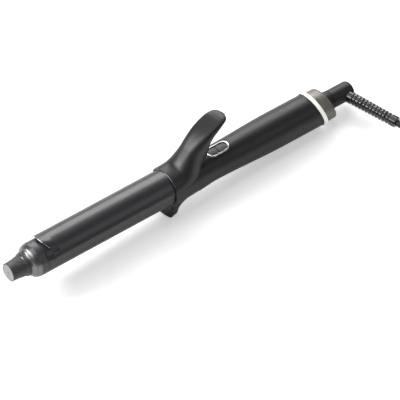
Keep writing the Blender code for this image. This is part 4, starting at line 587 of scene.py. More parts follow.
def ribbed(start, way, length, radius, end_radius, ribs, collar):
    """A straight taper with square grooves, each four corners: down, along its floor, and up again."""
    pitch = (length - collar * 2) / ribs
    places = collar + pitch * (np.arange(ribs)[:, None] + GROOVE_EDGE_SHARES)
    heights = radius + (end_radius - radius) * places / length - GROOVE_DEPTHS
    corners = np.concatenate(([(0, radius)], np.stack((places, heights), -1).reshape(-1, 2),
                              [(length, end_radius), (length, end_radius * MOUTH_SHARE)]))
    return straight_tube(filled(eased(corners, RIB_EASE, closed=False), RIB_STEP, closed=False), start, way)


relief_grid = ribbed(relief_start - relief_way * ROOT_DEPTH, relief_way, RELIEF_LENGTH + ROOT_DEPTH,
                     RELIEF_RADIUS, RELIEF_END_RADIUS, RELIEF_RIBS, RELIEF_COLLAR)
make_piece("strain_sleeve", [capped(relief_grid)], SLEEVE_FINISH, "cord_swivel", ("strain_relief",))
plug_relief_start = coil_last + plug_way * SEAT_GAP
plug_sleeve_grid = ribbed(plug_relief_start, plug_way, PLUG_RELIEF_LENGTH, RELIEF_END_RADIUS,
                          PLUG_RELIEF_RADIUS, PLUG_RELIEF_RIBS, PLUG_EDGE)
plug_sleeve = make_piece("plug_sleeve", [capped(plug_sleeve_grid)], PVC_FINISH, "handle", ("plug_relief",),
                         as_is)

# %% [markdown]
# ### Plug and strap
# The plug is one moulding: wide and square at the face, waisted where the fingers hold it, and narrow at the
# cord. Its section is a superellipse, |x|^n + |y|^n = 1, whose two half sizes follow the length. The strap
# is a band of woven nylon: a flat section carried round the bundle's rounded outline.

# %% Plug body
PLUG_LENGTH = 0.0350
PLUG_WIDTH = 0.0350
PLUG_SQUARE_POWER = 0.5
PLUG_WAIST_SHARE = 0.10
PLUG_WAIST_RUN = 0.16
PLUG_COLUMNS = 64
PLUG_PLACE_SHARES = np.array((0, 0.012, 0.04, 0.12, 0.25, 0.38, 0.5, 0.62, 0.72, 0.8, 0.9, 0.96, 0.988, 1))
# Share of the length, and how much of the section is left there, or how much of the width each half takes
PLUG_END_SHARES = np.array(((0, 0.86), (0.012, 0.95), (0.04, 1), (0.96, 1), (0.988, 0.97), (1, 0.92)))
PLUG_WIDTH_SHARES = np.array(((0, 0.22857), (0.25, 0.27), (0.5, 0.36), (0.72, 0.47), (0.8, 0.5), (1, 0.5)))


def signed_power(values, power):
    """Each value raised to the power, with its own sign kept."""
    return np.sign(values) * np.abs(values) ** power


plug_rear = plug_relief_start + plug_way * (PLUG_RELIEF_LENGTH + SEAT_GAP)
plug_side = np.array((plug_way[1], -plug_way[0], 0))
plug_end = np.interp(PLUG_PLACE_SHARES, *PLUG_END_SHARES.T)
half_width = PLUG_WIDTH * np.interp(PLUG_PLACE_SHARES, *PLUG_WIDTH_SHARES.T) * plug_end
waist = 1 - PLUG_WAIST_SHARE * np.exp(-((PLUG_PLACE_SHARES - 0.5) / PLUG_WAIST_RUN) ** 2)
half_thickness = PLUG_THICKNESS / 2 * plug_end * waist
plug_turn = full_turn(PLUG_COLUMNS)
aside = half_width[:, None] * signed_power(np.cos(plug_turn), PLUG_SQUARE_POWER)
aloft = half_thickness[:, None] * signed_power(np.sin(plug_turn), PLUG_SQUARE_POWER)
plug_grid = (plug_rear + plug_way * (PLUG_LENGTH * PLUG_PLACE_SHARES)[:, None, None]
             + plug_side * aside[..., None] + np.array((0, 0, 1)) * aloft[..., None])
plug_moulding = make_piece("plug_moulding", [capped(plug_grid)], PVC_FINISH, "handle", ("plug_body",),
                           as_is, sharp=50)

# %% Strap round the coil
TIE_WIDTH = 0.0120
TIE_ANGLE = math.radians(165)
TIE_CORNER = 0.0024
TIE_STEP = 0.002
TIE_EDGE_SHARE = 0.8
half = TIE_THICKNESS / 2
tie_reach = COIL_TURNS_A_LAYER * COIL_PITCH / 2 + CORD_RADIUS + SEAT_GAP * 2 + half
tie_inner, tie_outer = COIL_MEAN_RADIUS - tie_reach, COIL_MEAN_RADIUS + tie_reach
tie_high = coil_top + CORD_RADIUS + SEAT_GAP + half
bundle = ((tie_inner, half), (tie_outer, half), (tie_outer, tie_high), (tie_inner, tie_high))
loop = filled(eased(bundle, TIE_CORNER, steps=9), TIE_STEP)
loop_out = out_of_loop(loop, 1)
side = TIE_WIDTH / 2
band = eased(((-half, -side), (half, -side), (half, side), (-half, side)), half * TIE_EDGE_SHARE, steps=4)
tie_out = np.array((math.cos(TIE_ANGLE), math.sin(TIE_ANGLE), 0))
tie_across = np.array((-tie_out[1], tie_out[0], 0))
ring = loop[:, None] + loop_out[:, None] * band[None, :, :1]
tie_grid = (coil_centre + tie_out * ring[..., :1] + np.array((0, 0, 1)) * ring[..., 1:]
            + tie_across * np.broadcast_to(band[None, :, 1:], ring[..., :1].shape))
cord_strap = make_piece("cord_strap", [joined(tie_grid)], STRAP_FINISH, "handle", ("cord_tie",),
                        as_is)

# %% [markdown]
# ## Cool tip and shoulder
# The tip is where fingers steady the tong, so it stays cool: a hollow cone of heat-proof plastic with a small
# step near its root and a silver disc let into its face. Behind it a nickel-plated shoulder rises to the
# barrel's size and runs on as a dark band. All are turned shapes, so an outline spun round the axis is exact.

# %% Tip, disc and shoulder
# Corners of each outline: station, radius, and how far the corner is eased
TIP_OUTLINE = ((0, 0.0085, 0.00025), (0.0061, 0.00878, 0.0022), (0.0120, 0.00968, 0.0016),
               (0.0141, 0.01004, 0.0001), (0.0145, 0.0105, 0.00012), (0.0171, 0.0113, 0.0004),
               (0.0171, 0.0092, 0.0002), (0.0041, 0.0063, 0.0002), (0.0041, 0.0018, 0.0002),
               (0.0019, 0.0018, 0.0002), (0.0019, 0.0082, 0.0002), (0, 0.0082, 0.00004))
DISC_OUTLINE = ((0.0007, 0.0001, 0), (0.0007, 0.0006, 0.0001), (0, 0.00075, 0.0001), (0, 0.0079, 0.0003),
                (0.0016, 0.0079, 0.0001), (0.0016, 0.0031, 0.0001), (0.0008, 0.0031, 0.0001),
                (0.0008, 0.0001, 0))
SHOULDER_RIM = 0.0252
SHOULDER_OUTLINE = ((0.0174, 0.0112, 0.0002), (0.0189, 0.0118, 0.0008), (0.0211, 0.0146, 0.0018),
                    (SHOULDER_RIM, 0.0160, 0.0009), (0.0319, 0.0160, 0.0002), (0.0319, 0.0143, 0.0001),
                    (0.0412, 0.0143, 0.0003), (0.0412, 0.0018, 0.0003), (0.0174, 0.0018, 0.0003))
tip_cone = turned_piece("tip_cone", TIP_OUTLINE, TIP_FINISH, "cool_tip", "tip_plastic")
tip_disc = turned_piece("tip_badge_disc", DISC_OUTLINE, DISC_FINISH, "tip_disc", "satin_grey", closed=False)
shoulder = turned_piece("plated_shoulder", SHOULDER_OUTLINE, SHOULDER_FINISH, "barrel_end_cap", "satin_grey",
                        steps=13)


# %% A second finish on chosen faces
def places_of_faces(made):
    """Each face's middle, taken back into the tong's frame: station, across and height."""
    middles = np.empty(len(made.data.polygons) * 3)
    made.data.polygons.foreach_get("center", middles)
    away = middles.reshape(-1, 3) - TONG_ORIGIN
    station = away[:, 0] * math.cos(TILT) - away[:, 2] * math.sin(TILT)
    return station, away[:, 1], away[:, 2] * math.cos(TILT) + away[:, 0] * math.sin(TILT)


def second_finish(made, finish, chosen):
    """Gives the chosen faces another finish, in a slot of its own."""
    made.data.materials.append(finish)
    index = np.zeros(len(made.data.polygons), np.int32)
    made.data.polygons.foreach_get("material_index", index)
    index[chosen] = len(made.data.materials) - 1
    made.data.polygons.foreach_set("material_index", index)


BAND_SETBACK = 0.0001
STEP_STATION = 0.0143
STEP_HALF_LENGTH = 0.00028
STEP_LEAST_RADIUS = 0.0095
STEP_HIGHLIGHT_HALF_ANGLE = math.radians(21)
DIMPLE_SHADE_DEPTH = 0.0010
DIMPLE_SHADE_RADIUS = 0.00072
station, across, height = places_of_faces(shoulder)
second_finish(shoulder, BAND_FINISH, station > SHOULDER_RIM + BAND_SETBACK)
# Only the step's faces within 21 degrees of the top get that lighter grey, as a painted highlight.
station, across, height = places_of_faces(tip_cone)
on_step = (np.abs(station - STEP_STATION) < STEP_HALF_LENGTH) & (np.hypot(across, height) > STEP_LEAST_RADIUS)
second_finish(tip_cone, PAINTED_EDGE_HIGHLIGHT, on_step & (np.abs(np.arctan2(across, height)) < STEP_HIGHLIGHT_HALF_ANGLE))
# The disc's dimple takes the dark tip plastic: painted shade in the recess.
station, across, height = places_of_faces(tip_disc)
second_finish(tip_disc, TIP_FINISH, (station < DIMPLE_SHADE_DEPTH) & (np.hypot(across, height) < DIMPLE_SHADE_RADIUS))
print("faces of the tip's bright step:", int(on_step.sum()))

# %% [markdown]
# ## Barrel and clamp
# The barrel is a plain tube. The clamp lies over its upper half: a sheet 1.1 mm thick, rolled to the same
# round and with its front lip lifted so that hair slips in. The sheet is a function of the station and the
# angle, and a closed section (over the outside, round one edge, back along the inside, round the other) is
# carried along.

# %% Barrel tube
BARREL_OUTLINE = ((0.0322, 0.0160, 0.0002), (0.1772, 0.0160, 0.0002), (0.1772, 0.0146, 0.0002),
                  (0.0322, 0.0146, 0.0002))
BARREL_STEP = 0.0040
turned_piece("barrel_tube", BARREL_OUTLINE, COATING, "barrel", "charcoal_coating", spacing=BARREL_STEP)

# %% Clamp sheet
CLAMP_MIDDLE_RADIUS = 0.01735
CLAMP_THICKNESS = 0.0011
CLAMP_HALF_ANGLE = math.radians(68)
CLAMP_FRONT = 0.0333
CLAMP_SWEEP = 0.0076
CLAMP_LIP_LIFT = 0.0012
CLAMP_LIP_LENGTH = 0.0110
CLAMP_LIP_ANGLE = math.radians(55)
LIP_CENTRE = math.radians(-10)
CLAMP_HUG = 0.00109
CLAMP_THIN_SHARE = 0.75
CLAMP_REAR_RISE = 0.0005
CLAMP_REAR = 0.1705
LIP_SWEEP_POWER = 2.2
LIP_RETURN_SHARE = 0.42
THIN_START_SHARE = 0.75
THIN_RUN_SHARE = 0.35


def lip_front(angle):
    """The front edge: a tongue, swept back by a power of the angle, that comes forward again beyond it."""
    round_share = np.abs(angle - LIP_CENTRE) / CLAMP_LIP_ANGLE
    comes_back = 1 - smooth((round_share - 1) / LIP_RETURN_SHARE)
    return CLAMP_FRONT + CLAMP_SWEEP * np.minimum(round_share, 1) ** LIP_SWEEP_POWER * comes_back, round_share


def clamp_sheet_point(share, angle, offset):
    """(station, -r sin, r cos): r is the middle radius plus the lip's lift, less what thin sides draw in."""
    front, round_share = lip_front(angle)
    station = front + (CLAMP_REAR - front) * share
    lift = CLAMP_LIP_LIFT * (1 - smooth((station - front) / CLAMP_LIP_LENGTH)) * (1 - smooth(round_share))
    thin = (1 - smooth((station - front) / (CLAMP_LIP_LENGTH / 2)))
    thin = thin * smooth((round_share - THIN_START_SHARE) / THIN_RUN_SHARE)
    radius = CLAMP_MIDDLE_RADIUS + CLAMP_REAR_RISE * share + lift - CLAMP_HUG * thin
    radius = radius + offset * (1 - CLAMP_THIN_SHARE * thin)
    return about_axis(station, angle, radius)


def sheet_section(half_angle, columns=96, edge_steps=7):
    """Angle and offset round a sheet's section, its two long edges rounded as half circles."""
    half = CLAMP_THICKNESS / 2
    edge = np.linspace(0, math.pi, edge_steps)[1:-1]
    reach = half_angle - half / CLAMP_MIDDLE_RADIUS
    over = np.linspace(-reach, reach, columns)
    bulge = half / CLAMP_MIDDLE_RADIUS * np.sin(edge)
    angles = np.concatenate((over, reach + bulge, over[::-1], -reach - bulge))
    run, bend = np.full(columns, half), half * np.cos(edge)
    return angles, np.concatenate((run, bend, -run, -bend))


BEAD_ROWS = 6
BEAD_START = 0.25
LEAST_THICK_SHARE = 0.02


def ended(shares, length):
    """Shares along a sheet with close rows at both ends, and each row's thickness, round as a bead's end."""
    half = CLAMP_THICKNESS / 2
    bead = half * (1 - np.cos(np.linspace(BEAD_START, math.pi / 2, BEAD_ROWS))) / length
    shares = np.concatenate((bead, shares, 1 - bead[::-1]))
    near = np.minimum(shares, 1 - shares) * length
    thick = np.sqrt(np.clip(1 - (1 - np.clip(near / half, 0, 1)) ** 2, LEAST_THICK_SHARE, 1))
    return shares[:, None], thick[:, None]


def slit(grid):
    """Closes a long flat section's two ends with quads from its upper run to its lower run."""
    rows, columns = grid.shape[:2]
    pairs = np.arange(columns // 2 - 1)
    first = np.stack((pairs, pairs + 1, columns - 2 - pairs, columns - 1 - pairs), -1)
    return grid.reshape(-1, 3), [ring_faces(rows, columns), first[:, ::-1], first + (rows - 1) * columns]


# %% The sheet, and the tongue that the lever holds
TONGUE_HALF_ANGLE = math.radians(24)
TONGUE_REAR = 0.1928
TONGUE_LAP = 0.003
TONGUE_THICK_SHARE = 0.98
TONGUE_COLUMNS = 40
PLATE_ROW_SHARES = np.concatenate((np.linspace(0.006, 0.09, 16), np.linspace(0.1, 0.99, 40)))
BARE_EDGE_DEPTH = 0.00022
BARE_EDGE_ANGLES = np.radians((-43, 31))

plate_shares, plate_thick = ended(PLATE_ROW_SHARES, CLAMP_REAR - CLAMP_FRONT)
angles, offsets = sheet_section(CLAMP_HALF_ANGLE)
plate_grid = clamp_sheet_point(plate_shares, angles[None], offsets[None] * plate_thick)
angles, offsets = sheet_section(TONGUE_HALF_ANGLE, TONGUE_COLUMNS)
tongue_stations = np.linspace(CLAMP_REAR - TONGUE_LAP, TONGUE_REAR, 16)[:, None]
radius = CLAMP_MIDDLE_RADIUS + CLAMP_REAR_RISE + offsets * TONGUE_THICK_SHARE
tongue_grid = about_axis(tongue_stations, angles, radius)

# Two columns on, the first column lies half way round a long edge, where slit starts
clamp_islands = [slit(np.roll(grid, 2, axis=1)) for grid in (plate_grid, tongue_grid)]
clamp_sheet = make_piece("clamp_sheet", clamp_islands, COATING, "clamp", ("clamp_plate",),
                         sharp=40)
station, across, height = places_of_faces(clamp_sheet)
angle = np.arctan2(-across, height)
second_finish(clamp_sheet, BARE_EDGE, (station < lip_front(angle)[0] + BARE_EDGE_DEPTH)
              & (angle > BARE_EDGE_ANGLES[0]) & (angle < BARE_EDGE_ANGLES[1]))

# %% [markdown]
# ## Thumb lever
# The lever is one moulding: a saddle that hugs the handle's front, rising in a long S to a paddle for the
# thumb, with a hinge lug under it. The designer draws a few sections, each with its top, its lower edge, its
# widths and how square it is. A cubic that never swings past its values runs through them, and a superellipse
# fills each section. The inside keeps clear of the clamp's tongue.

# %% Lever sections
LEVER_FRONT = 0.1708
LEVER_LENGTH = 0.0648
LEVER_HEIGHT = 0.0580
LEVER_HALF_WIDTH = 0.0178
LEVER_WALL = 0.0015
# Each row: top (along, height), lower edge (along, height), upper width, lower width, solid depth, squareness
LEVER_SECTION_SHARES = np.array((
    (0.000, 0.331, 0.003, 0.124, 1.000, 1.000, 0.145, 2.0),
    (0.088, 0.345, 0.119, 0.129, 0.983, 0.983, 0.163, 2.0),
    (0.157, 0.367, 0.242, 0.150, 0.944, 0.944, 0.233, 2.1),
    (0.219, 0.425, 0.358, 0.181, 0.893, 0.885, 0.366, 2.4),
    (0.273, 0.494, 0.474, 0.216, 0.837, 0.680, 0.473, 2.8),
    (0.324, 0.565, 0.571, 0.252, 0.785, 0.460, 0.558, 3.1),
    (0.373, 0.633, 0.636, 0.291, 0.752, 0.340, 0.680, 3.4),
    (0.427, 0.698, 0.640, 0.388, 0.733, 0.420, 0.985, 3.6),
    (0.497, 0.771, 0.639, 0.509, 0.717, 0.530, 0.985, 3.7),
    (0.574, 0.837, 0.651, 0.634, 0.706, 0.565, 0.985, 3.7),
    (0.659, 0.895, 0.701, 0.748, 0.688, 0.585, 0.985, 3.7),
    (0.752, 0.948, 0.779, 0.838, 0.664, 0.580, 0.985, 3.7),
    (0.844, 0.986, 0.861, 0.903, 0.616, 0.545, 0.985, 3.7),
    (0.921, 1.000, 0.929, 0.936, 0.532, 0.475, 0.985, 3.5),
    (0.972, 0.995, 0.975, 0.948, 0.388, 0.345, 0.985, 3.4),
    (1.000, 0.981, 0.998, 0.960, 0.191, 0.169, 0.985, 2.6),
))


def flowing(table, place):
    """Rows joined by cubics: a slope is the harmonic mean of the steps beside it, level where they turn."""
    step = np.diff(table, axis=0)
    before, after = step[:-1], step[1:]
    agree = before * after > 0
    slope = np.where(agree, 2 * before * after / np.where(agree, before + after, 1), 0)
    slope = np.concatenate((step[:1], slope, step[-1:]))
    row = np.minimum(place.astype(int), len(table) - 2)
    t = (place - row)[:, None]
    return ((1 + 2 * t) * (1 - t) ** 2 * table[row] + t * (1 - t) ** 2 * slope[row]
            + t * t * (3 - 2 * t) * table[row + 1] + t * t * (t - 1) * slope[row + 1])


LEVER_ROWS = 136
LEVER_FRONT_PLACES = (0, 0.006, 0.02, 0.045, 0.08)
SADDLE_ROUND = 0.0007
OUTER_COLUMNS = 81
INNER_COLUMNS = 47
lever_places = np.linspace(0, len(LEVER_SECTION_SHARES) - 1, LEVER_ROWS)[1:]
sections = flowing(LEVER_SECTION_SHARES, np.concatenate((LEVER_FRONT_PLACES, lever_places)))
lever_size = np.array((LEVER_LENGTH, LEVER_HEIGHT))
lever_top = np.array((LEVER_FRONT, 0)) + lever_size * sections[:, 0:2]
lever_edge = np.array((LEVER_FRONT, 0)) + lever_size * sections[:, 2:4]
upper_half, lower_half = LEVER_HALF_WIDTH * sections[:, 4:5], LEVER_HALF_WIDTH * sections[:, 5:6]
solid_share, squareness = sections[:, 6:7], sections[:, 7:8]


def lever_run(shares, inside):
    """One run of a section: side = |sin|^p with its sign, depth = 1 - cos^p, p = 2 / squareness."""
    turn = math.pi / 2 * np.sign(shares) * smooth(np.abs(shares))
    power = 2 / squareness
    side = signed_power(np.sin(turn), power)
    depth = 1 - np.abs(np.cos(turn)) ** power
    if inside:
        depth = solid_share + (1 - solid_share) * depth
        half = lower_half - LEVER_WALL * np.minimum(1, (1 - solid_share) * 2)
    else:
        half = upper_half + (lower_half - upper_half) * depth * depth
    place = lever_top[:, None] + (lever_edge - lever_top)[:, None] * depth[..., None]
    return np.stack((place[..., 0], half * side, place[..., 1]), -1)


lever_outside = lever_run(np.linspace(-1, 1, OUTER_COLUMNS), False)
lever_inside = lever_run(np.linspace(1, -1, INNER_COLUMNS + 2)[1:-1], True)

# The saddle's front edge is rounded: its first rows are drawn in by a quarter circle
front_away = (lever_outside[:, OUTER_COLUMNS // 2, 0] - LEVER_FRONT)[:, None, None]
front_round = rounded_off(front_away, SADDLE_ROUND)
lever_outside[..., 1:] *= 1 - front_round / np.linalg.norm(lever_outside[..., 1:], axis=-1, keepdims=True)

# The pocket over the clamp's tongue: inner points nearer the axis than its roof are pushed out to it
POCKET_RADIUS = 0.0187
POCKET_REAR = 0.1931
POCKET_FLOOR = 0.0150
distance = np.hypot(lever_inside[..., 1], lever_inside[..., 2])
in_pocket = (lever_inside[..., 0] < POCKET_REAR) & (distance < POCKET_RADIUS)
in_pocket &= lever_inside[..., 2] > POCKET_FLOOR
lever_inside[..., 1:] *= np.where(in_pocket, POCKET_RADIUS / distance, 1)[..., None]
lever_grid = np.concatenate((lever_outside, lever_inside), axis=1)

# The tip closes in a small round nose: rings shrink by the cosine and move on by the sine
NOSE_WAY = np.array((0.00072, 0, -0.00030))
nose = np.linspace(0, math.pi / 2, 7)[1:-1, None, None]
last_ring = lever_grid[-1]
nose_middle = last_ring.mean(0)
nose_rings = nose_middle + (last_ring - nose_middle) * np.cos(nose) + NOSE_WAY * np.sin(nose)
lever_grid = np.concatenate((lever_grid, nose_rings))

# %% [markdown]
# The saddle's front face is a thin arch, so a fan to one middle would fold over it. Its outside and inside
# runs are zipped together instead: triangles that step along one run and the other by turns.

# %% Lever body
def zipped_front():
    """Triangles between the first ring's two runs, each step taken by the run that is behind, as in a zip."""
    outer_share = np.arange(OUTER_COLUMNS) / (OUTER_COLUMNS - 1)
    inner_share = (np.arange(INNER_COLUMNS) + 1) / (INNER_COLUMNS + 1)
    inner_index = OUTER_COLUMNS + INNER_COLUMNS - 1 - np.arange(INNER_COLUMNS)
    outer_steps = np.stack((outer_share[1:], np.zeros(OUTER_COLUMNS - 1), np.arange(1, OUTER_COLUMNS)), -1)
    inner_steps = np.stack((inner_share, np.ones(INNER_COLUMNS), np.arange(INNER_COLUMNS)), -1)
    steps = np.concatenate((outer_steps, inner_steps))
    steps = steps[np.argsort(steps[:, 0], kind="stable")]
    is_inner = steps[:, 1] == 1
    outer_now = np.concatenate(([0], np.maximum.accumulate(np.where(~is_inner, steps[:, 2], 0)).astype(int)))
    inner_now = np.concatenate(([-1], np.maximum.accumulate(np.where(is_inner, steps[:, 2], -1)).astype(int)))
    inner_place = np.where(inner_now < 0, 0, inner_index[np.maximum(inner_now, 0)])
    third = np.where(is_inner, inner_place[1:], outer_now[1:])
    triangles = np.stack((outer_now[:-1], third, inner_place[:-1]), -1)
    real = (triangles != np.roll(triangles, 1, axis=1)).all(1)
    return triangles[real]


points, (quads, _, nose_fan) = capped(lever_grid)
lever_island = (points, [quads, zipped_front(), nose_fan])

# %% Hinge lug under the lever
HINGE = np.array((0.2120, 0.0080))
LUG_TOP = np.array((0.2010, 0.0250))
LUG_HALF_THICKNESS = 0.0022
LUG_EYE_RADIUS = 0.0032
PIN_BORE = 0.0018
lean = math.atan2(LUG_TOP[1] - HINGE[1], LUG_TOP[0] - HINGE[0])
high_arc = lean + np.linspace(-math.pi / 2, math.pi / 2, 25)
half_round = LUG_EYE_RADIUS * np.stack((np.cos(high_arc), np.sin(high_arc)), -1)
lug_outline = np.concatenate((HINGE - half_round, LUG_TOP + half_round))
spoke = lug_outline - HINGE
eye = HINGE + PIN_BORE * unit(spoke)
lug_rows = np.stack((lug_outline, lug_outline, eye, eye))
lug_sides = np.array((-1, 1, 1, -1))[:, None] * np.full(len(lug_outline), LUG_HALF_THICKNESS)
lug_grid = np.stack((lug_rows[..., 0], lug_sides, lug_rows[..., 1]), -1)
thumb_lever = make_piece("lever_moulding", [lever_island, joined(lug_grid)], SOFT_TOUCH, "clamp",
                         ("thumb_lever",), sharp=50)
FRONT_EDGE_DEPTH = 0.0005
FRONT_EDGE_FLOOR = 0.0130
# The saddle's upper front rim gets the lighter grey too: a painted highlight.
station, across, height = places_of_faces(thumb_lever)
front_rim_highlight = (station < LEVER_FRONT + FRONT_EDGE_DEPTH) & (height > FRONT_EDGE_FLOOR)
second_finish(thumb_lever, PAINTED_EDGE_HIGHLIGHT, front_rim_highlight)

# %% [markdown]
# ## Handle
# The handle is a hollow moulding, waisted where the hand closes and swelling to the rear, where it is cut
# off on a slant. Its front is cut away under the saddle. That cut is no tool's work here: each section
# simply starts at the angle where the saddle's edge is, runs round underneath, and comes back along the
# inside. Behind the saddle the two ends meet and are welded. A foot under the front is a stack of rounded
# outlines.

# %% Handle outline
HANDLE_FRONT = 0.1710
HANDLE_LENGTH = 0.1740
HANDLE_REAR = HANDLE_FRONT + HANDLE_LENGTH
HANDLE_FRONT_RADIUS = 0.0179
HANDLE_WAIST_RADIUS = 0.0154
HANDLE_REAR_RADIUS = 0.0175
HANDLE_WALL = 0.0022
BARREL_FIT = 0.0163
HOUSING_REAR = 0.1840
REAR_SLANT = 0.36
NOTCH_GAP = 0.0005
NOTCH_RUN = 0.001
SADDLE_ROWS = 70
SADDLE_END_ROW = 54
SLOT_HALF = 0.0028
SLOT_FRONT = 0.2015
SLOT_REAR = 0.2157
SLOT_CORNER = 0.0006
FIRST_STEP_SHARE = 0.17
SECOND_STEP_SHARE = 0.12
SWELL_START_SHARE = 0.29
SWELL_SHARE = 0.46


def handle_radius(station):
    """The front radius, less two smooth steps down to the waist, plus one long smooth swell to the rear."""
    share = (station - HANDLE_FRONT) / HANDLE_LENGTH
    step = (HANDLE_WAIST_RADIUS - HANDLE_FRONT_RADIUS) / 2
    first, second = smooth(share / FIRST_STEP_SHARE), smooth((share - FIRST_STEP_SHARE) / SECOND_STEP_SHARE)
    swell = (HANDLE_REAR_RADIUS - HANDLE_WAIST_RADIUS) * smooth((share - SWELL_START_SHARE) / SWELL_SHARE)
    return HANDLE_FRONT_RADIUS + step * first + step * second + swell


def opening_angle(station):
    """Half the angle left open at the top: the saddle's edge as seen end on, or the lug's slot behind it."""
    edge_height = np.interp(station, lever_edge[:SADDLE_ROWS, 0], lever_edge[:SADDLE_ROWS, 1]) - NOTCH_GAP
    radius = handle_radius(station)
    past = (station - lever_edge[SADDLE_END_ROW, 0]) / NOTCH_RUN
    notch = np.arccos(np.clip(edge_height / radius + np.clip(past, 0, 1), -1, 1))
    into_corner = np.clip((station - (SLOT_REAR - SLOT_CORNER)) / SLOT_CORNER, 0, 1)
    slot_half = SLOT_HALF - SLOT_CORNER * (1 - np.sqrt(1 - into_corner ** 2))
    slot = np.where((station > SLOT_FRONT) & (station < SLOT_REAR), np.arcsin(slot_half / radius), 0)
    return np.maximum(notch, slot)


# %% Handle shell
RIM_ROUND = 0.0004
HANDLE_FLARE = 0.0005
FLARE_SETBACK = 0.0028
FLARE_RUN = 0.0022
HOUSING_STEP = 0.0006
SLANT_START = 0.2900
HANDLE_COLUMNS = 145
OPEN_LEAST = 0.0001
# Runs of sections: first station, last station, count; the sections lie closest along the slot
HANDLE_RUNS = ((HANDLE_FRONT + 0.0012, 0.2000, 30), (0.2010, 0.2160, 46), (0.2172, 0.3400, 90),
               (0.3410, HANDLE_REAR - 0.0006, 6))
rim = RIM_ROUND * (1 - np.cos(np.linspace(0, math.pi / 2, 6)))
stations = np.concatenate((HANDLE_FRONT + rim, *[np.linspace(*run) for run in HANDLE_RUNS],
                           HANDLE_REAR - rim[::-1]))
rounding = rounded_off(np.minimum(stations - HANDLE_FRONT, HANDLE_REAR - stations), RIM_ROUND)
flare = HANDLE_FLARE * smooth((stations - (HANDLE_REAR - FLARE_SETBACK)) / FLARE_RUN)
outer_radius = handle_radius(stations) - rounding + flare
behind_housing = smooth((stations - HOUSING_REAR) / HOUSING_STEP)
inner_radius = BARREL_FIT + (handle_radius(stations) - HANDLE_WALL - BARREL_FIT) * behind_housing
open_half = opening_angle(stations)
handle_angles = open_half[:, None] + (math.tau - 2 * open_half[:, None]) * np.linspace(0, 1, HANDLE_COLUMNS)
all_angles = np.concatenate((handle_angles, handle_angles[:, ::-1]), 1)
all_radii = np.repeat(np.stack((outer_radius, inner_radius), 1), HANDLE_COLUMNS, axis=1)
slant_share = smooth((stations - SLANT_START) / (HANDLE_REAR - SLANT_START))[:, None]
along = stations[:, None] - REAR_SLANT * slant_share * all_radii * np.cos(all_angles)
handle_grid = about_axis(along, all_angles, all_radii)


def shell_faces(rows, columns, is_open):
    """Faces of a shell open along the top in some rows: outside, inside, edges there, and both rims."""
    faces = ring_faces(rows, columns * 2)
    column, row = faces[:, 0] % (columns * 2), faces[:, 0] // (columns * 2)
    wall = (column == columns - 1) | (column == columns * 2 - 1)
    faces = faces[~wall | is_open[row] | is_open[row + 1]]
    pair = np.arange(columns - 1)
    rim_faces = np.stack((pair, pair + 1, columns * 2 - 2 - pair, columns * 2 - 1 - pair), -1)
    return [faces, rim_faces[:, ::-1], rim_faces + (rows - 1) * columns * 2]


is_open = open_half > OPEN_LEAST
handle_faces = shell_faces(len(stations), HANDLE_COLUMNS, np.append(is_open, False))
handle_shell = make_piece("handle_shell", [(handle_grid.reshape(-1, 3), handle_faces)], SOFT_TOUCH, "handle",
                          ("handle_sleeve",), weld=True, sharp=40)
print("sections open at the top:", int(is_open.sum()), "of", len(stations))

# %% [markdown]
# The foot drops from the handle's front to the table. Its outline is a bowed front, two rounded corners and a
# narrower back, and between the top level and the floor level every corner slides along a straight line, with
# the back fairing away in a cube so that it runs into the handle's underside.

# %% Stand foot
FOOT_DROP = 0.0274
PAD_THICKNESS = 0.0012
PAD_SEAT = 0.0003
FOOT_FRONT = 0.1668
FOOT_LENGTH = 0.0134
FOOT_MIDDLE = FOOT_FRONT + FOOT_LENGTH / 2
FOOT_FAIRING = 0.0085
FOOT_TOP_DROP = 0.0120
FOOT_TOP_HALF = 0.0130
FOOT_FRONT_HALF = 0.0128
FOOT_REAR_HALF = 0.0106
FOOT_BOW = 0.0027
FOOT_REAR_BOW = 0.0005
FOOT_CORNERS = (0.0018, 0.003, 0.003, 0.003, 0.0018, 0.0030, 0.004, 0.0030)
FOOT_LEVEL_SHARES = np.concatenate((np.linspace(0, 0.97, 22), (0.985, 1.0)))
FOOT_EDGE_SHARE = 0.03
BARREL_CLEARANCE = 0.0002
floor_slope = math.tan(TILT)


def foot_levels(shares, drop, shrink=0.0):
    """Outlines of the foot at shares of its height: corners slide from handle's width to the foot's own."""
    share = np.asarray(shares, float)[:, None]
    flare = 1 - share
    front = (FOOT_FRONT + shrink) * share + HANDLE_FRONT * flare
    rear = FOOT_FRONT + FOOT_LENGTH - shrink + FOOT_FAIRING * flare ** 3
    wide = (FOOT_FRONT_HALF - shrink) * share + FOOT_TOP_HALF * flare
    narrow = (FOOT_REAR_HALF - shrink) * share + FOOT_TOP_HALF * flare
    bow, level = FOOT_BOW * share, np.zeros_like(wide)
    x = np.concatenate((front + bow, front + bow / 4, front, front + bow / 4, front + bow,
                        rear, rear + FOOT_REAR_BOW, rear), 1)
    y = np.concatenate((-wide, -wide / 2, level, wide / 2, wide, narrow, level, -narrow), 1)
    plan = eased(np.stack((x, y), -1), FOOT_CORNERS, steps=7)
    height = (plan[..., 0] - FOOT_MIDDLE) * floor_slope * share - FOOT_TOP_DROP * flare - drop * share
    return np.concatenate((plan, height[..., None]), -1)


def drawn_in(ring):
    """A ring's plan drawn in to its middle by a small share, which rounds the lowest edge."""
    return ring + (ring.mean(0) - ring) * FOOT_EDGE_SHARE


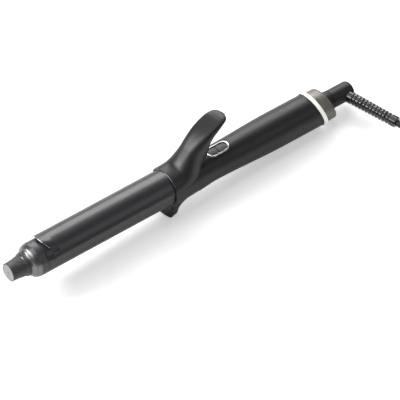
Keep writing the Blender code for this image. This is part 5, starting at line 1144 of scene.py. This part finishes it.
foot_grid = foot_levels(FOOT_LEVEL_SHARES, FOOT_DROP - PAD_THICKNESS)
foot_grid[-1, :, :2] = drawn_in(foot_grid[-1, :, :2])
foot_radius = np.hypot(foot_grid[..., 1], foot_grid[..., 2])
foot_grid[..., 1:] *= np.maximum((BARREL_FIT + BARREL_CLEARANCE) / foot_radius, 1)[..., None]
make_piece("stand_foot", [capped(foot_grid)], SOFT_TOUCH, "handle", sharp=50)
pad_grid = foot_levels((1.0, 1.0, 1.0), FOOT_DROP, shrink=PAD_THICKNESS)
pad_grid[0, :, 2] += PAD_THICKNESS - SEAT_GAP
pad_grid[1, :, 2] += PAD_SEAT
pad_grid[2, :, :2] = drawn_in(pad_grid[2, :, :2])
make_piece("foot_rubber", [capped(pad_grid)], RUBBER_FINISH, "handle", ("foot_pad",))

# %% [markdown]
# ### Keys in their bezel
# Two grey keys sit in a bright ring with round ends. The opening in the handle is cut with a Boolean that is
# applied at once. The ring is a rounded section carried round the slot's outline and draped on the handle:
# each point's height is what the handle's radius leaves at its distance from the middle, the square root of
# radius squared less across squared. A key is the same outline drawn in to its middle, ring by ring.

# %% Slot outline and draping
BEZEL_STATION = 0.2309
BEZEL_LENGTH = 0.0245
BEZEL_WIDTH = 0.0123
BEZEL_RING = 0.0011
BEZEL_PROUD = 0.0004
BEZEL_DEPTH = 0.0030
BEZEL_STEP = 0.0006
BEZEL_EASES = (0.0001, 0.0001, 0.00022, 0.00022)


def round_end(length, width, count):
    """The half circle at a slot's rear end, from one side to the other, (along, across)."""
    turn = np.linspace(math.pi / 2, -math.pi / 2, count)
    return np.stack((length / 2 - width / 2 + width / 2 * np.cos(turn), width / 2 * np.sin(turn)), -1)


def slot_outline(length, width):
    """A slot in plan: two half circles and the straight runs between them, (along, across)."""
    rear = round_end(length, width, 33)
    return filled(np.concatenate((rear, -rear)), BEZEL_STEP)


def draped(plan, rise):
    """Plan points and a rise above the handle's skin: height = sqrt((radius + rise)^2 - across^2)."""
    station = BEZEL_STATION + plan[..., 0]
    radius = handle_radius(station) + rise
    return np.stack((station, plan[..., 1], np.sqrt(radius ** 2 - plan[..., 1] ** 2)), -1)


# %% Opening in the handle
OPENING_GAP = 0.0006
CUTTER_HEIGHTS = (0.0080, 0.0220)
plan = slot_outline(BEZEL_LENGTH + OPENING_GAP, BEZEL_WIDTH + OPENING_GAP) + (BEZEL_STATION, 0)
levels = [np.concatenate((plan, np.full((len(plan), 1), z)), 1) for z in CUTTER_HEIGHTS]
cutter_points, cutter_faces = capped(np.stack(levels))
cutter_points = in_place(cutter_points)
cutter_mesh = bpy.data.meshes.new("opening_cutter")
cutter_faces = [face for group in outward(cutter_points, cutter_faces) for face in group.tolist()]
cutter_mesh.from_pydata(cutter_points.tolist(), [], cutter_faces)
cutter = stand("opening_cutter", cutter_mesh)
opening = handle_shell.modifiers.new("opening", "BOOLEAN")
opening.object = cutter
opening.operation = "DIFFERENCE"
opening.solver = "EXACT"
bpy.context.view_layer.update()
cut_mesh = bpy.data.meshes.new_from_object(handle_shell.evaluated_get(bpy.context.evaluated_depsgraph_get()))
handle_shell.modifiers.clear()
handle_shell.data = cut_mesh
cut_mesh.name = "handle_shell"
soften(cut_mesh, 40)
bpy.data.objects.remove(cutter, do_unlink=True)
print("handle after the cut:", len(cut_mesh.polygons), "faces")

# %% Bezel
bezel_path = slot_outline(BEZEL_LENGTH, BEZEL_WIDTH)
path_out = out_of_loop(bezel_path, -1)
section = eased(((-BEZEL_RING, -BEZEL_DEPTH), (0, -BEZEL_DEPTH), (0, BEZEL_PROUD),
                 (-BEZEL_RING, BEZEL_PROUD)), BEZEL_EASES, steps=6)
bezel_plan = bezel_path[:, None] + path_out[:, None] * section[None, :, :1]
bezel_rise = np.broadcast_to(section[None, :, 1], bezel_plan.shape[:2])
make_piece("bezel_ring", [joined(draped(bezel_plan, bezel_rise))], CHROME, "handle", ("button_bezel",),
           sharp=60)

# %% Keys
KEY_GAP = 0.0004
KEY_SPLIT = 0.0006
KEY_SUNK = 0.0008
KEY_HEIGHT = 0.0026
KEY_EDGE = 0.0004
KEY_CROWN = 0.00018
KEY_EDGE_SHARES = np.array((0, 0.05, 0.15, 0.30, 0.50, 0.75, 1.0))
KEY_TOP_SHARES = np.linspace(0.93, 0.06, 12)
STEM_ASIDE = 0.00527
STEM_RADIUS = 0.001
STEM_LENGTH = 0.0015
STEM_GAP = 0.0007
STEM_COLUMNS = 24
key_length = BEZEL_LENGTH - BEZEL_RING * 2 - KEY_GAP * 2
key_width = BEZEL_WIDTH - BEZEL_RING * 2 - KEY_GAP * 2
half_width = key_width / 2
key_bow = round_end(key_length, key_width, 25)
key_corners = np.concatenate(([[KEY_SPLIT / 2, half_width]], key_bow, [[KEY_SPLIT / 2, -half_width]]))
edge_inset = KEY_EDGE * (1 - np.sqrt(1 - KEY_EDGE_SHARES ** 2))
key_shrink = np.concatenate(([1.0], 1 - edge_inset / half_width, KEY_TOP_SHARES))
key_drop = np.concatenate(([KEY_HEIGHT], KEY_EDGE * (1 - KEY_EDGE_SHARES), np.zeros(len(KEY_TOP_SHARES))))
key_rise = -KEY_SUNK - key_drop + KEY_CROWN * (1 - key_shrink ** 2)
stem_low = handle_radius(BEZEL_STATION) - KEY_SUNK - KEY_HEIGHT - STEM_GAP
stem_turn = full_turn(STEM_COLUMNS)
for name, body, side in (("front_key", "front_button", -1), ("rear_key", "rear_button", 1)):
    key_outline = filled(key_corners, BEZEL_STEP) * (side, 1)
    middle = np.array((side * key_length / 4, 0))
    key_plan = middle + (key_outline[None] - middle) * key_shrink[:, None, None]
    rise = np.broadcast_to(key_rise[:, None], key_plan.shape[:2])
    stem = np.stack([round_points(stem_turn, STEM_RADIUS, z) for z in (stem_low, stem_low + STEM_LENGTH)])
    stem = stem + (BEZEL_STATION + side * STEM_ASIDE, 0, 0)
    make_piece(name, [capped(draped(key_plan, rise)), capped(stem)], KEY_FINISH, body, (body,),
               sharp=50)

# %% [markdown]
# ## Rear end
# A ring of opal plastic, a taupe cap and the black swivel close the handle. The ring and the cap lie square
# to the slanted cut, so their turned outlines are sheared: every point moves forward by the slant times its
# height. The little collar behind the cap takes up the slant again, so its shear fades to nothing.

# %% Ring, cap and collar
RING_OUTLINE = ((0.3453, 0.0182, 0.0003), (0.3493, 0.0182, 0.0003), (0.3493, 0.0150, 0.0003),
                (0.3453, 0.0150, 0.0003))
CAP_OUTLINE = ((0.3496, 0.0170, 0.0003), (0.3619, 0.0165, 0.0026), (0.3619, 0.0063, 0.0002),
               (0.3595, 0.0063, 0.0002), (0.3595, 0.0123, 0.0002), (0.3419, 0.0123, 0.0002),
               (0.3419, 0.0147, 0.0002), (0.3496, 0.0147, 0.0002))
COLLAR_FRONT, COLLAR_REAR = 0.3622, 0.36649
COLLAR_OUTLINE = ((COLLAR_FRONT, 0.0097, 0.0001), (0.3646, 0.0096, 0.0010), (COLLAR_REAR, 0.0092, 0.0004),
                  (COLLAR_REAR, 0.0063, 0.0001), (COLLAR_FRONT, 0.0063, 0.0001))
RING_STEP = 0.0008
turned_piece("opal_ring", RING_OUTLINE, RING_FINISH, "light_ring", "white_ring", slant=REAR_SLANT,
             spacing=RING_STEP)
turned_piece("taupe_end_cap", CAP_OUTLINE, CAP_FINISH, "rear_cap", "taupe_cap", slant=REAR_SLANT, steps=9)
collar_stations = outline(COLLAR_OUTLINE, RING_STEP)[:, 0]
collar_slant = REAR_SLANT * np.clip((COLLAR_REAR - collar_stations) / (COLLAR_REAR - COLLAR_FRONT), 0, 1)
turned_piece("swivel_collar", COLLAR_OUTLINE, NECK_FINISH, "neck_collar", "black_pvc", slant=collar_slant,
             spacing=RING_STEP)

# %% Swivel neck
NECK_FRONT, NECK_REAR = 0.36679, 0.39199
NECK_OUTLINE = ((0.34529, 0.0002, 0), (0.34529, 0.0060, 0.0003), (NECK_FRONT, 0.0060, 0.0001),
                (NECK_FRONT, NECK_RADIUS, 0.0003), (NECK_REAR, NECK_RADIUS, 0.0034), (NECK_REAR, 0.0002, 0))
turned_piece("swivel_knuckle", NECK_OUTLINE, NECK_FINISH, "swivel_neck", "black_pvc", body="cord_swivel",
             closed=False, steps=12)

# %% [markdown]
# ## The lead on its own
# Its mesh is final now, so it is taken off its parent and its place is baked into its points.

# %% The lead, off its parent and baked in place
cord_lead.parent = None
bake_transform(cord_lead)

# %% [markdown]
# ## Floor and light
# The tong lies on white paper. The paper glows a little to the camera and in reflections, so that it reads as
# pure white and still keeps the shadow. Round things show a lamp as a line along them, at the angle that
# mirrors it to the lens. So each soft box stands where its line is wanted: two long ones behind the tong for
# the bright band along the barrel and its soft edge, one to the left for the shoulder, a small one for the
# thumb paddle's ridge, and weak ones in front and above for the near side and the paper.

# %% Floor
FLOOR_REACH = 3
FIBRE_SCALE = 400.0
CAMERA_GLOW = 0.46
MIRROR_GLOW = 0.16
floor_corners = [(x * FLOOR_REACH, y * FLOOR_REACH, 0) for x, y in ((-1, -1), (1, -1), (1, 1), (-1, 1))]
floor_mesh = bpy.data.meshes.new("paper_floor")
floor_mesh.from_pydata(floor_corners, [], [(0, 1, 2, 3)])
floor = stand("paper_floor", floor_mesh)
paper, paper_tree, paper_shader, paper_coordinates = start_finish(
    "white_paper", Roughness=0.9, Emission_Color=(1, 1, 1, 1))
fibre = add(paper_tree, "ShaderNodeTexNoise", None, {"Vector": paper_coordinates, "Scale": FIBRE_SCALE})
tint = add(paper_tree, "ShaderNodeMix", {"data_type": "RGBA"},
           {0: fibre.outputs["Fac"], 6: hex_colour("#ececec"), 7: hex_colour("#f0f0f0")})
paper_tree.links.new(tint.outputs[2], paper_shader.inputs["Base Color"])
rays = add(paper_tree, "ShaderNodeLightPath").outputs

# The stronger of two glows: what mirrors and glass see, and what the camera sees
either = add(paper_tree, "ShaderNodeMath", {"operation": "MAXIMUM"},
             {0: rays["Is Glossy Ray"], 1: rays["Is Transmission Ray"]})
mirrored = add(paper_tree, "ShaderNodeMath", {"operation": "MULTIPLY"},
               {0: either.outputs[0], 1: MIRROR_GLOW})
direct = add(paper_tree, "ShaderNodeMath", {"operation": "MULTIPLY"},
             {0: rays["Is Camera Ray"], 1: CAMERA_GLOW})
glow = add(paper_tree, "ShaderNodeMath", {"operation": "MAXIMUM"},
           {0: mirrored.outputs[0], 1: direct.outputs[0]})
paper_tree.links.new(glow.outputs[0], paper_shader.inputs["Emission Strength"])
floor.data.materials.append(paper)

# %% Soft boxes and room light
ROOM_LIGHT = 0.13
LAMP_DISTANCE = 1.5
# Name, azimuth and elevation in degrees, width and height, power in watts
SOFT_BOXES = (
    ("key_box", 139.0, 46.0, (1.0, 0.42), 9.0),
    ("back_sweep", 149.0, 27.0, (1.4, 0.40), 8.8),
    ("left_box", 256.0, 47.0, (0.8, 0.7), 8.5),
    ("paddle_box", 239.5, 31.0, (0.36, 0.30), 13.0),
    ("front_fill", 32.0, 33.0, (0.9, 0.7), 1.6),
    ("top_box", 190.0, 80.0, (0.9, 0.9), 3.0),
)
world = bpy.data.worlds.new("studio")
bpy.context.scene.world = world
world.use_nodes = True
room = world.node_tree.nodes["Background"].inputs
room["Color"].default_value = hex_colour("#ffffff")
room["Strength"].default_value = ROOM_LIGHT
for name, azimuth, elevation, size, power in SOFT_BOXES:
    lamp = bpy.data.lights.new(name, "AREA")
    lamp.shape = "RECTANGLE"
    lamp.size, lamp.size_y = size
    lamp.energy = power
    stand(name, lamp, facing(azimuth, elevation, LAMP_DISTANCE))
print("lamps:", len(SOFT_BOXES), "with", sum(box[-1] for box in SOFT_BOXES), "W")

bpy.context.scene.view_settings.view_transform = "Standard"
